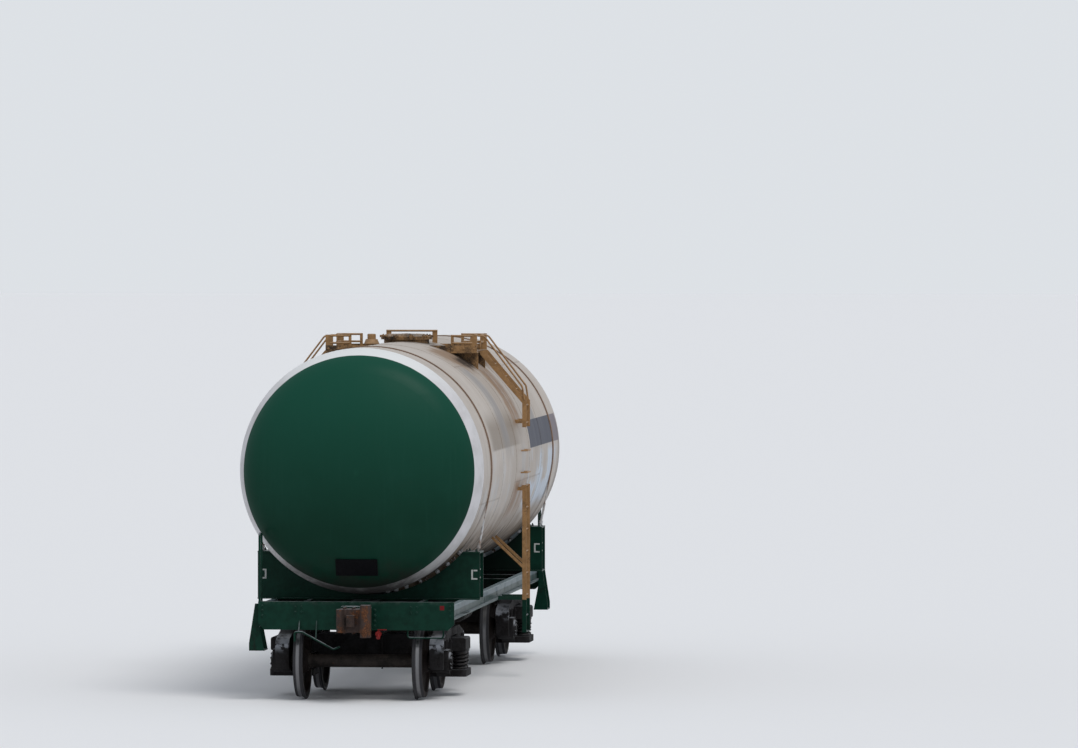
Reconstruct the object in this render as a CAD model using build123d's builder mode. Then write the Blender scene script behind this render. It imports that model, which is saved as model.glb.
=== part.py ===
import os
from math import acos, atan2, cos, degrees, hypot, radians, sin, sqrt

from build123d import *

# Four-axle railway tank car, in millimetres. X runs along the car, +X to the end with the green disc
# in full view, +Y to that view's right, Z up. The origin lies under the middle of the car, level with
# the lowest point of the wheel flanges. Heights are worked out upwards, from wheels to manhole.

os.makedirs("parts", exist_ok=True)

# Whole car
coupler_length = 12020
coupler_reach = 610
frame_length = coupler_length - 2 * coupler_reach
frame_end_x = frame_length / 2
bogie_overhang = 1500
bogie_x = frame_end_x - bogie_overhang
fit_gap = 0.3

# Wheels and rail level
flange_height = 28
wheel_diameter = 957
wheel_radius = wheel_diameter / 2
axle_z = flange_height + wheel_radius
wheelbase = 1850
journal_spacing = 2036
journal_y = journal_spacing / 2
wheel_back_to_back = 1440
rim_width = 130

# Bogie heights, from the axles up to the centre plate that carries the car
spring_seat_drop = 150.5
spring_seat_z = axle_z - spring_seat_drop
spring_height = 245
spring_top_z = spring_seat_z + spring_height
bolster_end_height = 174
bolster_end_z = spring_top_z + bolster_end_height
centre_plate_rise = 59
centre_plate_z = bolster_end_z + centre_plate_rise

# Frame
coupler_rise = 254
coupler_z = centre_plate_z + coupler_rise
frame_top_z = coupler_z + 190
sill_plate = 14
centre_sill_height = 310
centre_sill_web_spacing = 350
centre_sill_flange = 80
centre_sill_half_width = centre_sill_web_spacing / 2 + sill_plate
centre_sill_bottom_z = frame_top_z - centre_sill_height
side_sill_height = 200
side_sill_width = 76
side_sill_y = 1290
side_sill_web_y = side_sill_y - side_sill_width
side_sill_bottom_z = frame_top_z - side_sill_height
headstock_half_width = side_sill_y
headstock_drop = 337
headstock_lip_rise = 30
headstock_bottom_z = frame_top_z - headstock_drop
headstock_top_z = frame_top_z + headstock_lip_rise
headstock_plate = 14
headstock_flange = 120
headstock_corner = 80

# Tank
tank_radius = 1610
saddle_throat = 62
saddle_pad_thickness = 50
tank_axis_z = frame_top_z + saddle_throat + saddle_pad_thickness + tank_radius
tank_top_z = tank_axis_z + tank_radius
tank_overhang = 200
dish_depth = 800
dish_knuckle_radius = 557
dish_x = frame_end_x + tank_overhang - dish_depth
tank_barrel_length = 2 * dish_x
tank_axis = Axis((0, 0, tank_axis_z), (1, 0, 0))

# TANK

with BuildPart() as tank_barrel:
    with BuildSketch(Plane.YZ.offset(-dish_x)):
        with Locations((0, tank_axis_z)):
            Circle(tank_radius)
    extrude(amount=tank_barrel_length)
tank_barrel.part.label = "tank_barrel"
export_step(tank_barrel.part, "parts/tank_barrel.step")

# What stands against the barrel is cut to it with this slightly larger round.
with BuildPart() as barrel_room:
    with BuildSketch(Plane.YZ.offset(-dish_x)):
        with Locations((0, tank_axis_z)):
            Circle(tank_radius + fit_gap)
    extrude(amount=tank_barrel_length)

# The dish has two arcs, a knuckle tangent to the barrel and a crown tangent to the knuckle.
knuckle_offset = tank_radius - dish_knuckle_radius
crown_height = dish_depth - dish_knuckle_radius
crown_radius = (knuckle_offset**2 + dish_depth**2 - dish_knuckle_radius**2) / (2 * crown_height)
crown_centre_x = dish_x + dish_depth - crown_radius
crown_angle = atan2(knuckle_offset, crown_radius - dish_depth)
joint_x = crown_centre_x + crown_radius * cos(crown_angle)
joint_z = tank_axis_z + crown_radius * sin(crown_angle)

with BuildPart() as tank_dishes:
    with BuildSketch(Plane.XZ):
        with BuildLine():
            knuckle = TangentArc((dish_x, tank_top_z), (joint_x, joint_z), tangent=(1, 0))
            crown = TangentArc(knuckle @ 1, (dish_x + dish_depth, tank_axis_z), tangent=knuckle % 1)
            Polyline(crown @ 1, (dish_x, tank_axis_z), knuckle @ 0)
        make_face()
    revolve(axis=tank_axis)
    mirror(about=Plane.YZ)
tank_dishes.part.label = "tank_dishes"
export_step(tank_dishes.part, "parts/tank_dishes.step")

# Saddles on the frame above the bogies. Each has a foot plate, a web box that opens at both ends
# between its plates, and ledge plates that the hold-down straps are bolted to.
saddle_depth = 400
saddle_wrap = 49
saddle_ledge_width = 227
saddle_ledge_plate = 20
saddle_ledge_depth = 440
saddle_foot_plate = 16
saddle_foot_depth = 460
saddle_end_recess = 150
saddle_bore_radius = tank_radius + saddle_pad_thickness
saddle_bore_edge_y = saddle_bore_radius * sin(radians(saddle_wrap))
saddle_ledge_z = tank_axis_z - saddle_bore_radius * cos(radians(saddle_wrap))
saddle_half_width = saddle_bore_edge_y + saddle_ledge_width
saddle_recess_height = saddle_ledge_z - frame_top_z - saddle_foot_plate - saddle_ledge_plate

with BuildPart() as saddles:
    with BuildSketch(Plane.YZ.offset(bogie_x - saddle_depth / 2)):
        with BuildLine():
            Polyline(
                (saddle_bore_edge_y, saddle_ledge_z),
                (saddle_half_width, saddle_ledge_z),
                (saddle_half_width, frame_top_z),
                (-saddle_half_width, frame_top_z),
                (-saddle_half_width, saddle_ledge_z),
                (-saddle_bore_edge_y, saddle_ledge_z),
            )
            ThreePointArc(
                (-saddle_bore_edge_y, saddle_ledge_z),
                (0, tank_axis_z - saddle_bore_radius),
                (saddle_bore_edge_y, saddle_ledge_z),
            )
        make_face()
    extrude(amount=saddle_depth)
    for side in (1, -1):
        with BuildSketch(Plane.XZ.offset(-side * (saddle_half_width - saddle_end_recess / 2))):
            with Locations((bogie_x, frame_top_z + saddle_foot_plate)):
                web_room = saddle_depth - 2 * sill_plate
                Rectangle(web_room, saddle_recess_height, align=(Align.CENTER, Align.MIN))
        extrude(amount=saddle_end_recess / 2, both=True, mode=Mode.SUBTRACT)
        ledge_y = side * (saddle_bore_edge_y + saddle_half_width) / 2
        with BuildSketch(Plane.XY.offset(saddle_ledge_z)):
            with Locations((bogie_x, ledge_y)):
                Rectangle(saddle_ledge_depth, saddle_ledge_width)
        extrude(amount=-saddle_ledge_plate)
    with BuildSketch(Plane.XY.offset(frame_top_z)):
        with Locations((bogie_x, 0)):
            Rectangle(saddle_foot_depth, 2 * saddle_half_width)
    extrude(amount=saddle_foot_plate)
    mirror(about=Plane.YZ)
saddles.part.label = "saddles"
export_step(saddles.part, "parts/saddles.step")

# Two curved wooden pads in each saddle, between these angles from straight down
pad_from = 12
pad_to = 46
pad_depth = 340
pad_outer = saddle_bore_radius - fit_gap
pad_inner = tank_radius + fit_gap

with BuildPart() as saddle_pads:
    for side in (1, -1):
        with BuildSketch(Plane.YZ.offset(bogie_x - pad_depth / 2)):
            with BuildLine():
                start = -90 + side * pad_from
                sweep_angle = side * (pad_to - pad_from)
                outer = CenterArc((0, tank_axis_z), pad_outer, start, sweep_angle)
                inner = CenterArc((0, tank_axis_z), pad_inner, start, sweep_angle)
                Line(outer @ 0, inner @ 0)
                Line(outer @ 1, inner @ 1)
            make_face()
        extrude(amount=pad_depth)
    mirror(about=Plane.YZ)
saddle_pads.part.label = "saddle_pads"
export_step(saddle_pads.part, "parts/saddle_pads.step")

# Hold-down straps: a band over the barrel that leaves it on a tangent, with a tie rod at each end
strap_width = 80
strap_thickness = 12
strap_foot_inset = 50
strap_rod_radius = 16
strap_rod_length = 330
strap_nut_radius = 28
strap_nut_height = 40
strap_inner = tank_radius + fit_gap
strap_middle = strap_inner + strap_thickness / 2
strap_foot_y = saddle_half_width - strap_foot_inset
foot_drop = tank_axis_z - saddle_ledge_z
foot_reach = hypot(strap_foot_y, foot_drop)
strap_leave = degrees(acos(strap_middle / foot_reach) - atan2(foot_drop, strap_foot_y))
band_run = sqrt(foot_reach**2 - strap_middle**2) - strap_rod_length
run_y = sin(radians(strap_leave))
run_z = -cos(radians(strap_leave))
foot_lift = strap_rod_radius * abs(run_y) + fit_gap

with BuildPart() as tank_straps:
    with BuildSketch(Plane.YZ.offset(bogie_x - strap_width / 2)):
        with BuildLine():
            wrap = 180 - 2 * strap_leave
            inner = CenterArc((0, tank_axis_z), strap_inner, strap_leave, wrap)
            outer = CenterArc((0, tank_axis_z), strap_inner + strap_thickness, strap_leave, wrap)
            for arc_end, side in ((0, 1), (1, -1)):
                run = Vector(side * run_y * band_run, run_z * band_run)
                near = inner @ arc_end
                far = outer @ arc_end
                Polyline(near, near + run, far + run, far)
        make_face()
    extrude(amount=strap_width)
    for side in (1, -1):
        foot = Vector(bogie_x, side * strap_foot_y, saddle_ledge_z)
        up_the_strap = Vector(0, -side * run_y, -run_z)
        with BuildSketch(Plane(origin=foot + up_the_strap * foot_lift, z_dir=up_the_strap)):
            Circle(strap_rod_radius)
        extrude(amount=strap_rod_length)
        with BuildSketch(Plane(origin=foot + up_the_strap * strap_nut_height, z_dir=up_the_strap)):
            RegularPolygon(strap_nut_radius, 6)
        extrude(amount=strap_nut_height)
    mirror(about=Plane.YZ)
tank_straps.part.label = "tank_straps"
export_step(tank_straps.part, "parts/tank_straps.step")

# Anchor brackets that hold the middle of the tank on the centre sill, ribbed boxes of plate
anchor_x = 800
anchor_length = 620
anchor_width = 470
anchor_plate = 20
anchor_rib_pitch = 200
anchor_pocket_depth = 170

with BuildPart() as tank_anchors:
    with BuildSketch(Plane.XY.offset(frame_top_z)):
        with Locations((anchor_x, 0), (-anchor_x, 0)):
            Rectangle(anchor_length, anchor_width)
    extrude(amount=tank_axis_z - tank_radius - frame_top_z + anchor_plate)
    for side in (1, -1):
        with BuildSketch(Plane.XZ.offset(side * (anchor_width - anchor_pocket_depth) / 2)):
            for middle_x in (anchor_x, -anchor_x):
                with Locations((middle_x, frame_top_z + anchor_plate)):
                    with GridLocations(anchor_rib_pitch, 0, 3, 1):
                        pocket_height = tank_axis_z - tank_radius - frame_top_z - 2 * anchor_plate
                        pocket_length = anchor_rib_pitch - anchor_plate
                        Rectangle(pocket_length, pocket_height, align=(Align.CENTER, Align.MIN))
        extrude(amount=anchor_pocket_depth / 2, both=True, mode=Mode.SUBTRACT)
    add(barrel_room.part, mode=Mode.SUBTRACT)
tank_anchors.part.label = "tank_anchors"
export_step(tank_anchors.part, "parts/tank_anchors.step")

# FRAME

sill_end_x = frame_end_x - headstock_plate
outlet_hole_radius = 150

with BuildPart() as centre_sill:
    with BuildSketch(Plane.YZ.offset(-sill_end_x)):
        with Locations((0, frame_top_z)):
            Rectangle(2 * centre_sill_half_width, sill_plate, align=(Align.CENTER, Align.MAX))
        for side in (1, -1):
            web_y = side * (centre_sill_half_width - sill_plate / 2)
            with Locations((web_y, centre_sill_bottom_z)):
                Rectangle(sill_plate, centre_sill_height, align=(Align.CENTER, Align.MIN))
            with Locations((side * (centre_sill_half_width + centre_sill_flange / 2), centre_sill_bottom_z)):
                Rectangle(centre_sill_flange, sill_plate, align=(Align.CENTER, Align.MIN))
    extrude(amount=2 * sill_end_x)
    with BuildSketch(Plane.XY.offset(frame_top_z)):
        Circle(outlet_hole_radius)
    extrude(amount=-sill_plate, mode=Mode.SUBTRACT)
centre_sill.part.label = "centre_sill"
export_step(centre_sill.part, "parts/centre_sill.step")

with BuildPart() as side_sills:
    with BuildSketch(Plane.YZ.offset(-sill_end_x)):
        for side in (1, -1):
            with Locations((side * (side_sill_web_y + sill_plate / 2), side_sill_bottom_z)):
                Rectangle(sill_plate, side_sill_height, align=(Align.CENTER, Align.MIN))
            flange_y = side * (side_sill_web_y + side_sill_width / 2)
            for flange_z, hang in ((side_sill_bottom_z, Align.MIN), (frame_top_z, Align.MAX)):
                with Locations((flange_y, flange_z)):
                    Rectangle(side_sill_width, sill_plate, align=(Align.CENTER, hang))
    extrude(amount=2 * sill_end_x)
side_sills.part.label = "side_sills"
export_step(side_sills.part, "parts/side_sills.step")

# Headstocks: pressed channels across the frame's ends, with the coupler's opening
opening_half_width = 140
opening_below = 100
opening_above = 112
opening_middle_z = coupler_z + (opening_above - opening_below) / 2
opening_height = opening_below + opening_above
lip_x = frame_end_x - headstock_plate - headstock_flange
lip_inner_y = centre_sill_half_width + centre_sill_flange
lip_outer_y = headstock_half_width - headstock_corner

with BuildPart() as headstocks:
    with BuildSketch(Plane.YZ.offset(frame_end_x - headstock_plate)):
        with BuildLine():
            Polyline(
                (-headstock_half_width, headstock_top_z),
                (-headstock_half_width, headstock_bottom_z + headstock_corner),
                (-headstock_half_width + headstock_corner, headstock_bottom_z),
                (headstock_half_width - headstock_corner, headstock_bottom_z),
                (headstock_half_width, headstock_bottom_z + headstock_corner),
                (headstock_half_width, headstock_top_z),
                close=True,
            )
        make_face()
        with Locations((0, opening_middle_z)):
            Rectangle(2 * opening_half_width, opening_height, mode=Mode.SUBTRACT)
    extrude(amount=headstock_plate)
    with BuildSketch(Plane.YZ.offset(lip_x)):
        with Locations((0, headstock_top_z - headstock_plate / 2)):
            Rectangle(2 * headstock_half_width, headstock_plate)
        for side in (1, -1):
            lip_y = side * (lip_inner_y + lip_outer_y) / 2
            with Locations((lip_y, headstock_bottom_z + headstock_plate / 2)):
                Rectangle(lip_outer_y - lip_inner_y, headstock_plate)
    extrude(amount=headstock_flange)
    mirror(about=Plane.YZ)
headstocks.part.label = "headstocks"
export_step(headstocks.part, "parts/headstocks.step")

# Strikers: cast collars on the headstocks around the coupler shanks
striker_depth = 128
striker_side = 70
striker_below = 45
striker_above = 60
striker_corner = 40
striker_height = opening_height + striker_below + striker_above
striker_draft = 4

with BuildPart() as coupler_strikers:
    with BuildSketch(Plane.YZ.offset(frame_end_x)):
        with Locations((0, opening_middle_z + (striker_above - striker_below) / 2)):
            RectangleRounded(2 * (opening_half_width + striker_side), striker_height, striker_corner)
        with Locations((0, opening_middle_z)):
            Rectangle(2 * opening_half_width, opening_height, mode=Mode.SUBTRACT)
    extrude(amount=striker_depth, taper=striker_draft)
    mirror(about=Plane.YZ)
coupler_strikers.part.label = "coupler_strikers"
export_step(coupler_strikers.part, "parts/coupler_strikers.step")

# Body bolsters carry the saddles between centre sill and side sills
body_bolster_depth = 360
body_bolster_inner_z = centre_sill_bottom_z + sill_plate
body_bolster_outer_z = side_sill_bottom_z + sill_plate
body_bolster_taper_y = 560
bearer_slope = (body_bolster_outer_z - body_bolster_inner_z) / (side_sill_web_y - body_bolster_taper_y)

with BuildPart() as body_bolsters:
    with BuildSketch(Plane.YZ.offset(bogie_x - body_bolster_depth / 2)):
        for side in (1, -1):
            with BuildLine():
                Polyline(
                    (side * centre_sill_half_width, frame_top_z),
                    (side * side_sill_web_y, frame_top_z),
                    (side * side_sill_web_y, body_bolster_outer_z),
                    (side * body_bolster_taper_y, body_bolster_inner_z),
                    (side * centre_sill_half_width, body_bolster_inner_z),
                    close=True,
                )
            make_face()
    extrude(amount=body_bolster_depth)
    mirror(about=Plane.YZ)
body_bolsters.part.label = "body_bolsters"
export_step(body_bolsters.part, "parts/body_bolsters.step")

# Cross bearers: I-beams from the centre sill to the side sills
cross_bearer_x = (2700, 1500, -1500, -2700)
cross_bearer_height = 180
cross_bearer_width = 110
cross_bearer_plate = 10
cross_bearer_length = side_sill_web_y - centre_sill_half_width
cross_bearer_bottom_z = frame_top_z - cross_bearer_height
bearer_flange_offset = (cross_bearer_height - cross_bearer_plate) / 2

with BuildPart() as cross_bearers:
    for side in (1, -1):
        with BuildSketch(Plane.XZ.offset(-side * (centre_sill_half_width + cross_bearer_length / 2))):
            for bearer_x in cross_bearer_x:
                middle_z = frame_top_z - cross_bearer_height / 2
                with Locations((bearer_x, middle_z)):
                    Rectangle(cross_bearer_plate, cross_bearer_height)
                for flange_z in (middle_z + bearer_flange_offset, middle_z - bearer_flange_offset):
                    with Locations((bearer_x, flange_z)):
                        Rectangle(cross_bearer_width, cross_bearer_plate)
        extrude(amount=cross_bearer_length / 2, both=True)
cross_bearers.part.label = "cross_bearers"
export_step(cross_bearers.part, "parts/cross_bearers.step")

# End stringers: short bars from body bolster to headstock
stringer_y = 760
stringer_height = 140
stringer_width = 60
stringer_start_x = bogie_x + body_bolster_depth / 2

with BuildPart() as end_stringers:
    with BuildSketch(Plane.YZ.offset(stringer_start_x)):
        for side in (1, -1):
            with Locations((side * stringer_y, frame_top_z)):
                Rectangle(stringer_width, stringer_height, align=(Align.CENTER, Align.MAX))
    extrude(amount=sill_end_x - stringer_start_x)
    mirror(about=Plane.YZ)
end_stringers.part.label = "end_stringers"
export_step(end_stringers.part, "parts/end_stringers.step")

# Draft gears: the spring housings behind the couplers, between the centre sill's webs. Two yoke
# straps run forward above and below the shank and hold the upright key that it swings on.
pivot_from_end = 200
coupler_pivot_x = frame_end_x - pivot_from_end
shank_width = 130
shank_height = 170
draft_gear_front_x = coupler_pivot_x - shank_width / 2 - fit_gap
draft_gear_length = 570
draft_gear_width = 318
draft_gear_height = 230
draft_gear_corner = 30
yoke_gap = 5
yoke_plate = 22
yoke_width = 120
yoke_front_x = coupler_pivot_x + 90
key_radius = 35

with BuildPart() as draft_gears:
    with BuildSketch(Plane.YZ.offset(draft_gear_front_x - draft_gear_length)):
        with Locations((0, coupler_z)):
            RectangleRounded(draft_gear_width, draft_gear_height, draft_gear_corner)
    extrude(amount=draft_gear_length)
    with BuildSketch(Plane.XZ):
        with Locations((draft_gear_front_x - draft_gear_length / 2, frame_top_z - sill_plate)):
            carrier_height = frame_top_z - sill_plate - coupler_z
            Rectangle(draft_gear_length / 2, carrier_height, align=(Align.CENTER, Align.MAX))
    extrude(amount=centre_sill_web_spacing / 2, both=True)
    for side in (1, -1):
        yoke_z = coupler_z + side * (shank_height / 2 + yoke_gap + yoke_plate / 2)
        with BuildSketch(Plane.XY.offset(yoke_z)):
            with Locations((draft_gear_front_x - yoke_width / 2, 0)):
                yoke_length = yoke_front_x - draft_gear_front_x + yoke_width / 2
                Rectangle(yoke_length, yoke_width, align=(Align.MIN, Align.CENTER))
        extrude(amount=yoke_plate / 2, both=True)
    with BuildSketch(Plane.XY.offset(coupler_z)):
        with Locations((coupler_pivot_x, 0)):
            Circle(key_radius)
    extrude(amount=shank_height / 2 + yoke_gap + yoke_plate, both=True)
    mirror(about=Plane.YZ)
draft_gears.part.label = "draft_gears"
export_step(draft_gears.part, "parts/draft_gears.step")

# Upper centre plates and side bearers, which meet the bogie bolsters
centre_plate_radius = 150
centre_plate_base = 380
centre_plate_base_height = 30
centre_plate_corner = 20
side_bearer_y = 762
side_bearer_gap = 8
side_bearer_rise = 46
side_bearer_z = centre_plate_z + side_bearer_rise
side_bearer_half_width = 60
side_bearer_length = 150

with BuildPart() as centre_plates:
    with BuildSketch(Plane.XY.offset(centre_plate_z)):
        with Locations((bogie_x, 0)):
            Circle(centre_plate_radius)
    extrude(amount=centre_sill_bottom_z - centre_plate_z)
    with BuildSketch(Plane.XY.offset(centre_sill_bottom_z - centre_plate_base_height)):
        with Locations((bogie_x, 0)):
            RectangleRounded(centre_plate_base, 2 * centre_sill_half_width, centre_plate_corner)
    extrude(amount=centre_plate_base_height)
    mirror(about=Plane.YZ)
centre_plates.part.label = "centre_plates"
export_step(centre_plates.part, "parts/centre_plates.step")

with BuildPart() as upper_side_bearers:
    with BuildSketch(Plane.YZ.offset(bogie_x - side_bearer_length / 2)):
        for side in (1, -1):
            with BuildLine():
                inner_y = side_bearer_y - side_bearer_half_width
                outer_y = side_bearer_y + side_bearer_half_width
                Polyline(
                    (side * inner_y, side_bearer_z),
                    (side * outer_y, side_bearer_z),
                    (side * outer_y, body_bolster_inner_z + bearer_slope * (outer_y - body_bolster_taper_y)),
                    (side * inner_y, body_bolster_inner_z + bearer_slope * (inner_y - body_bolster_taper_y)),
                    close=True,
                )
            make_face()
    extrude(amount=side_bearer_length)
    mirror(about=Plane.YZ)
upper_side_bearers.part.label = "upper_side_bearers"
export_step(upper_side_bearers.part, "parts/upper_side_bearers.step")

# COUPLERS

# Each coupler swings about the key in its yoke. Its head has a large tooth on one side, a small one
# on the other and the lock in the mouth between them. An outline's rows are the distance ahead of
# the coupling face, the distance sideways and the corner's radius.
coupler_face_x = coupler_length / 2
head_rear = 402
head_height = 300
tooth_height = 420
lock_length = 60
lock_width = 110
head_outline = (
    (-head_rear, -110, 20),
    (-300, -180, 60),
    (-60, -190, 40),
    (5, -165, 25),
    (5, -115, 18),
    (-75, -75, 30),
    (-75, 95, 30),
    (-20, 130, 10),
    (-20, 245, 20),
    (-300, 215, 60),
    (-head_rear, 110, 20),
)
tooth_outline = (
    (-150, 130, 10),
    (40, 135, 25),
    (105, 165, 25),
    (105, 200, 20),
    (45, 262, 50),
    (-150, 262, 30),
)

with BuildPart() as coupler_front:
    with BuildSketch(Plane.XY.offset(coupler_z)):
        with Locations((coupler_pivot_x, 0)):
            Circle(shank_width / 2)
            shank_length = coupler_face_x - head_rear + shank_width / 2 - coupler_pivot_x
            Rectangle(shank_length, shank_width, align=(Align.MIN, Align.CENTER))
            Circle(key_radius + fit_gap, mode=Mode.SUBTRACT)
    extrude(amount=shank_height / 2, both=True)
    for rows, height in ((head_outline, head_height), (tooth_outline, tooth_height)):
        with BuildSketch(Plane.XY.offset(coupler_z)):
            with BuildLine():
                corners = [(coupler_face_x + ahead, sideways) for ahead, sideways, radius in rows]
                FilletPolyline(*corners, radius=[row[2] for row in rows], close=True)
            make_face()
        extrude(amount=height / 2, both=True)
    with BuildSketch(Plane.XY.offset(coupler_z)):
        with Locations((coupler_face_x - 1.5 * lock_length, 0)):
            Rectangle(lock_length, lock_width, align=(Align.MIN, Align.CENTER))
    extrude(amount=head_height / 4, both=True)
coupler_front.part.label = "coupler_front"
export_step(coupler_front.part, "parts/coupler_front.step")

with BuildPart() as coupler_rear:
    add(coupler_front.part.rotate(Axis.Z, 180))
coupler_rear.part.label = "coupler_rear"
export_step(coupler_rear.part, "parts/coupler_rear.step")

# Centring beams hang on two rods in front of the strikers, with the shanks resting above them.
beam_gap = 5
beam_depth = 46
beam_height = 44
beam_half_width = 190
beam_rod_y = 160
beam_rod_radius = 12
beam_ear_height = 40
beam_ear_width = 56
beam_front_x = frame_end_x + striker_depth
beam_top_z = coupler_z - shank_height / 2 - beam_gap
beam_rod_top_z = coupler_z + opening_above

with BuildPart() as centring_beams:
    with BuildSketch(Plane.XY.offset(beam_top_z - beam_height)):
        with Locations((beam_front_x + fit_gap, 0)):
            Rectangle(beam_depth, 2 * beam_half_width, align=(Align.MIN, Align.CENTER))
    extrude(amount=beam_height)
    for side in (1, -1):
        with BuildSketch(Plane.XY.offset(beam_top_z - beam_height)):
            with Locations((beam_front_x + fit_gap + beam_depth / 2, side * beam_rod_y)):
                Circle(beam_rod_radius)
        extrude(amount=beam_rod_top_z - beam_top_z + beam_height)
        with BuildSketch(Plane.XY.offset(beam_rod_top_z - beam_ear_height)):
            with Locations((beam_front_x + fit_gap, side * beam_rod_y)):
                Rectangle(beam_depth, beam_ear_width, align=(Align.MIN, Align.CENTER))
        extrude(amount=beam_ear_height)
    mirror(about=Plane.YZ)
centring_beams.part.label = "centring_beams"
export_step(centring_beams.part, "parts/centring_beams.step")

# Uncoupling levers: a rod slants from a bracket on the headstock down to the coupler. The path's
# rows are the distance sideways and the drop below the headstock.
lever_reach = 70
lever_x = frame_end_x + lever_reach
lever_radius = 13
lever_bend = 28
lever_path = ((800, 150), (800, 26), (700, 26), (290, 250), (205, 215))
lever_bracket_y = 745
lever_bracket_width = 14
lever_bracket_height = 120
lever_stay_y = 520

with BuildPart() as uncoupling_levers:
    with BuildLine():
        corners = [(lever_x, -sideways, headstock_bottom_z - drop) for sideways, drop in lever_path]
        FilletPolyline(*corners, radius=lever_bend)
    with BuildSketch(Plane(origin=corners[0], z_dir=(0, 0, 1))):
        Circle(lever_radius)
    sweep()
    for stay_y, stay_drop in ((lever_bracket_y, lever_path[1][1]), (lever_stay_y, 124)):
        with BuildSketch(Plane.XZ.offset(stay_y - lever_bracket_width / 2)):
            with BuildLine():
                low_z = headstock_bottom_z - stay_drop
                Polyline(
                    (frame_end_x, headstock_bottom_z + lever_bracket_height),
                    (frame_end_x, headstock_bottom_z),
                    (lever_x - lever_radius, low_z),
                    (lever_x + lever_radius, low_z),
                    close=True,
                )
            make_face()
        extrude(amount=lever_bracket_width)
    add(uncoupling_levers.part.rotate(Axis.Z, 180))
uncoupling_levers.part.label = "uncoupling_levers"
export_step(uncoupling_levers.part, "parts/uncoupling_levers.step")

# Handles for the shunter's hand under the headstocks
handle_from_y = 673
handle_to_y = 1143
handle_drop = 99
handle_radius = 12
handle_bend = 35
handle_x = frame_end_x - 50
handle_z = headstock_bottom_z - handle_drop

with BuildPart() as shunter_handles:
    with BuildLine():
        FilletPolyline(
            (handle_x, handle_from_y, headstock_bottom_z),
            (handle_x, handle_from_y, handle_z),
            (handle_x, handle_to_y, handle_z),
            (handle_x, handle_to_y, headstock_bottom_z),
            radius=handle_bend,
        )
    with BuildSketch(Plane(origin=(handle_x, handle_from_y, headstock_bottom_z), z_dir=(0, 0, -1))):
        Circle(handle_radius)
    sweep()
    add(shunter_handles.part.rotate(Axis.Z, 180))
shunter_handles.part.label = "shunter_handles"
export_step(shunter_handles.part, "parts/shunter_handles.step")

# Corner steps at two diagonal corners: treads between two wide side plates, with a handrail above
# that stands in front of the dish
step_front_inset = 60
step_rear_inset = 400
step_front_x = frame_end_x - step_front_inset
step_rear_x = frame_end_x - step_rear_inset
step_plate = 10
step_top_width = 50
step_bottom_y = 1420
step_low_z = axle_z + 153.5
step_tread_depth = 200
step_tread_thickness = 12
step_middle_drop = 318
step_foot_height = 100
step_rail_radius = 14
step_rail_bend = 45
step_rail_y = side_sill_y - 15
step_rail_front_x = frame_end_x - 20
step_rail_reach = 380
step_rail_rear_x = dish_x + step_rail_reach
step_rail_rise = 887
step_rail_z = headstock_top_z + step_rail_rise

with BuildPart() as corner_steps:
    for plate_x in (step_front_x, step_rear_x + step_plate):
        with BuildSketch(Plane.YZ.offset(plate_x - step_plate)):
            with BuildLine():
                inner_y = step_bottom_y - step_tread_depth
                Polyline(
                    (-side_sill_y, frame_top_z),
                    (-side_sill_y - step_top_width, frame_top_z),
                    (-step_bottom_y, step_low_z + step_foot_height),
                    (-step_bottom_y, step_low_z),
                    (-inner_y, step_low_z),
                    (-side_sill_y, side_sill_bottom_z - step_top_width),
                    close=True,
                )
            make_face()
        extrude(amount=step_plate)
    with BuildSketch(Plane.XY.offset(step_low_z)):
        with Locations((step_rear_x, -step_bottom_y)):
            Rectangle(step_front_x - step_rear_x, step_tread_depth, align=(Align.MIN, Align.MIN))
    extrude(amount=step_tread_thickness)
    with BuildSketch(Plane.XY.offset(frame_top_z - step_middle_drop)):
        with Locations((step_rear_x, -side_sill_y - step_top_width)):
            Rectangle(step_front_x - step_rear_x, step_top_width, align=(Align.MIN, Align.MIN))
    extrude(amount=step_tread_thickness)
    with BuildLine():
        FilletPolyline(
            (step_rail_front_x, -step_rail_y, headstock_top_z),
            (step_rail_front_x, -step_rail_y, step_rail_z),
            (step_rail_rear_x, -step_rail_y, step_rail_z),
            (step_rail_rear_x, -step_rail_y, frame_top_z),
            radius=step_rail_bend,
        )
    with BuildSketch(Plane(origin=(step_rail_front_x, -step_rail_y, headstock_top_z), z_dir=(0, 0, 1))):
        Circle(step_rail_radius)
    sweep()
    add(corner_steps.part.rotate(Axis.Z, 180))
corner_steps.part.label = "corner_steps"
export_step(corner_steps.part, "parts/corner_steps.step")

# A blank plate low on the dished end in full view, tangent to the crown
plate_below_axis = 1240
plate_width = 550
plate_height = 232
plate_thickness = 20
plate_drop = plate_below_axis / crown_radius
plate_direction = Vector(sqrt(1 - plate_drop**2), 0, -plate_drop)
plate_back = Vector(crown_centre_x, 0, tank_axis_z) + plate_direction * (crown_radius + fit_gap)

with BuildPart() as blank_plate:
    with BuildSketch(Plane(origin=plate_back, x_dir=(0, 1, 0), z_dir=plate_direction)):
        Rectangle(plate_width, plate_height)
    extrude(amount=plate_thickness)
blank_plate.part.label = "blank_plate"
export_step(blank_plate.part, "parts/blank_plate.step")

# TOP OF THE TANK

manhole_neck_height = 50
manhole_top_z = tank_top_z + manhole_neck_height
manhole_radius = 310
manhole_flange_radius = 350
manhole_flange_thickness = 22
manhole_bore_radius = 285
lid_radius = manhole_flange_radius + 5
lid_thickness = 18
lid_crown = 30
lid_rim = 70
lid_seal = 3
lid_hinge_x = -lid_radius - 55
lid_hinge_z = manhole_top_z + 22
lid_hinge_radius = 12
lid_hinge_half_length = 105
lid_arm_half_width = 60
ear_y = 90
ear_thickness = 16
ear_height = 70
ear_reach = 30

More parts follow.
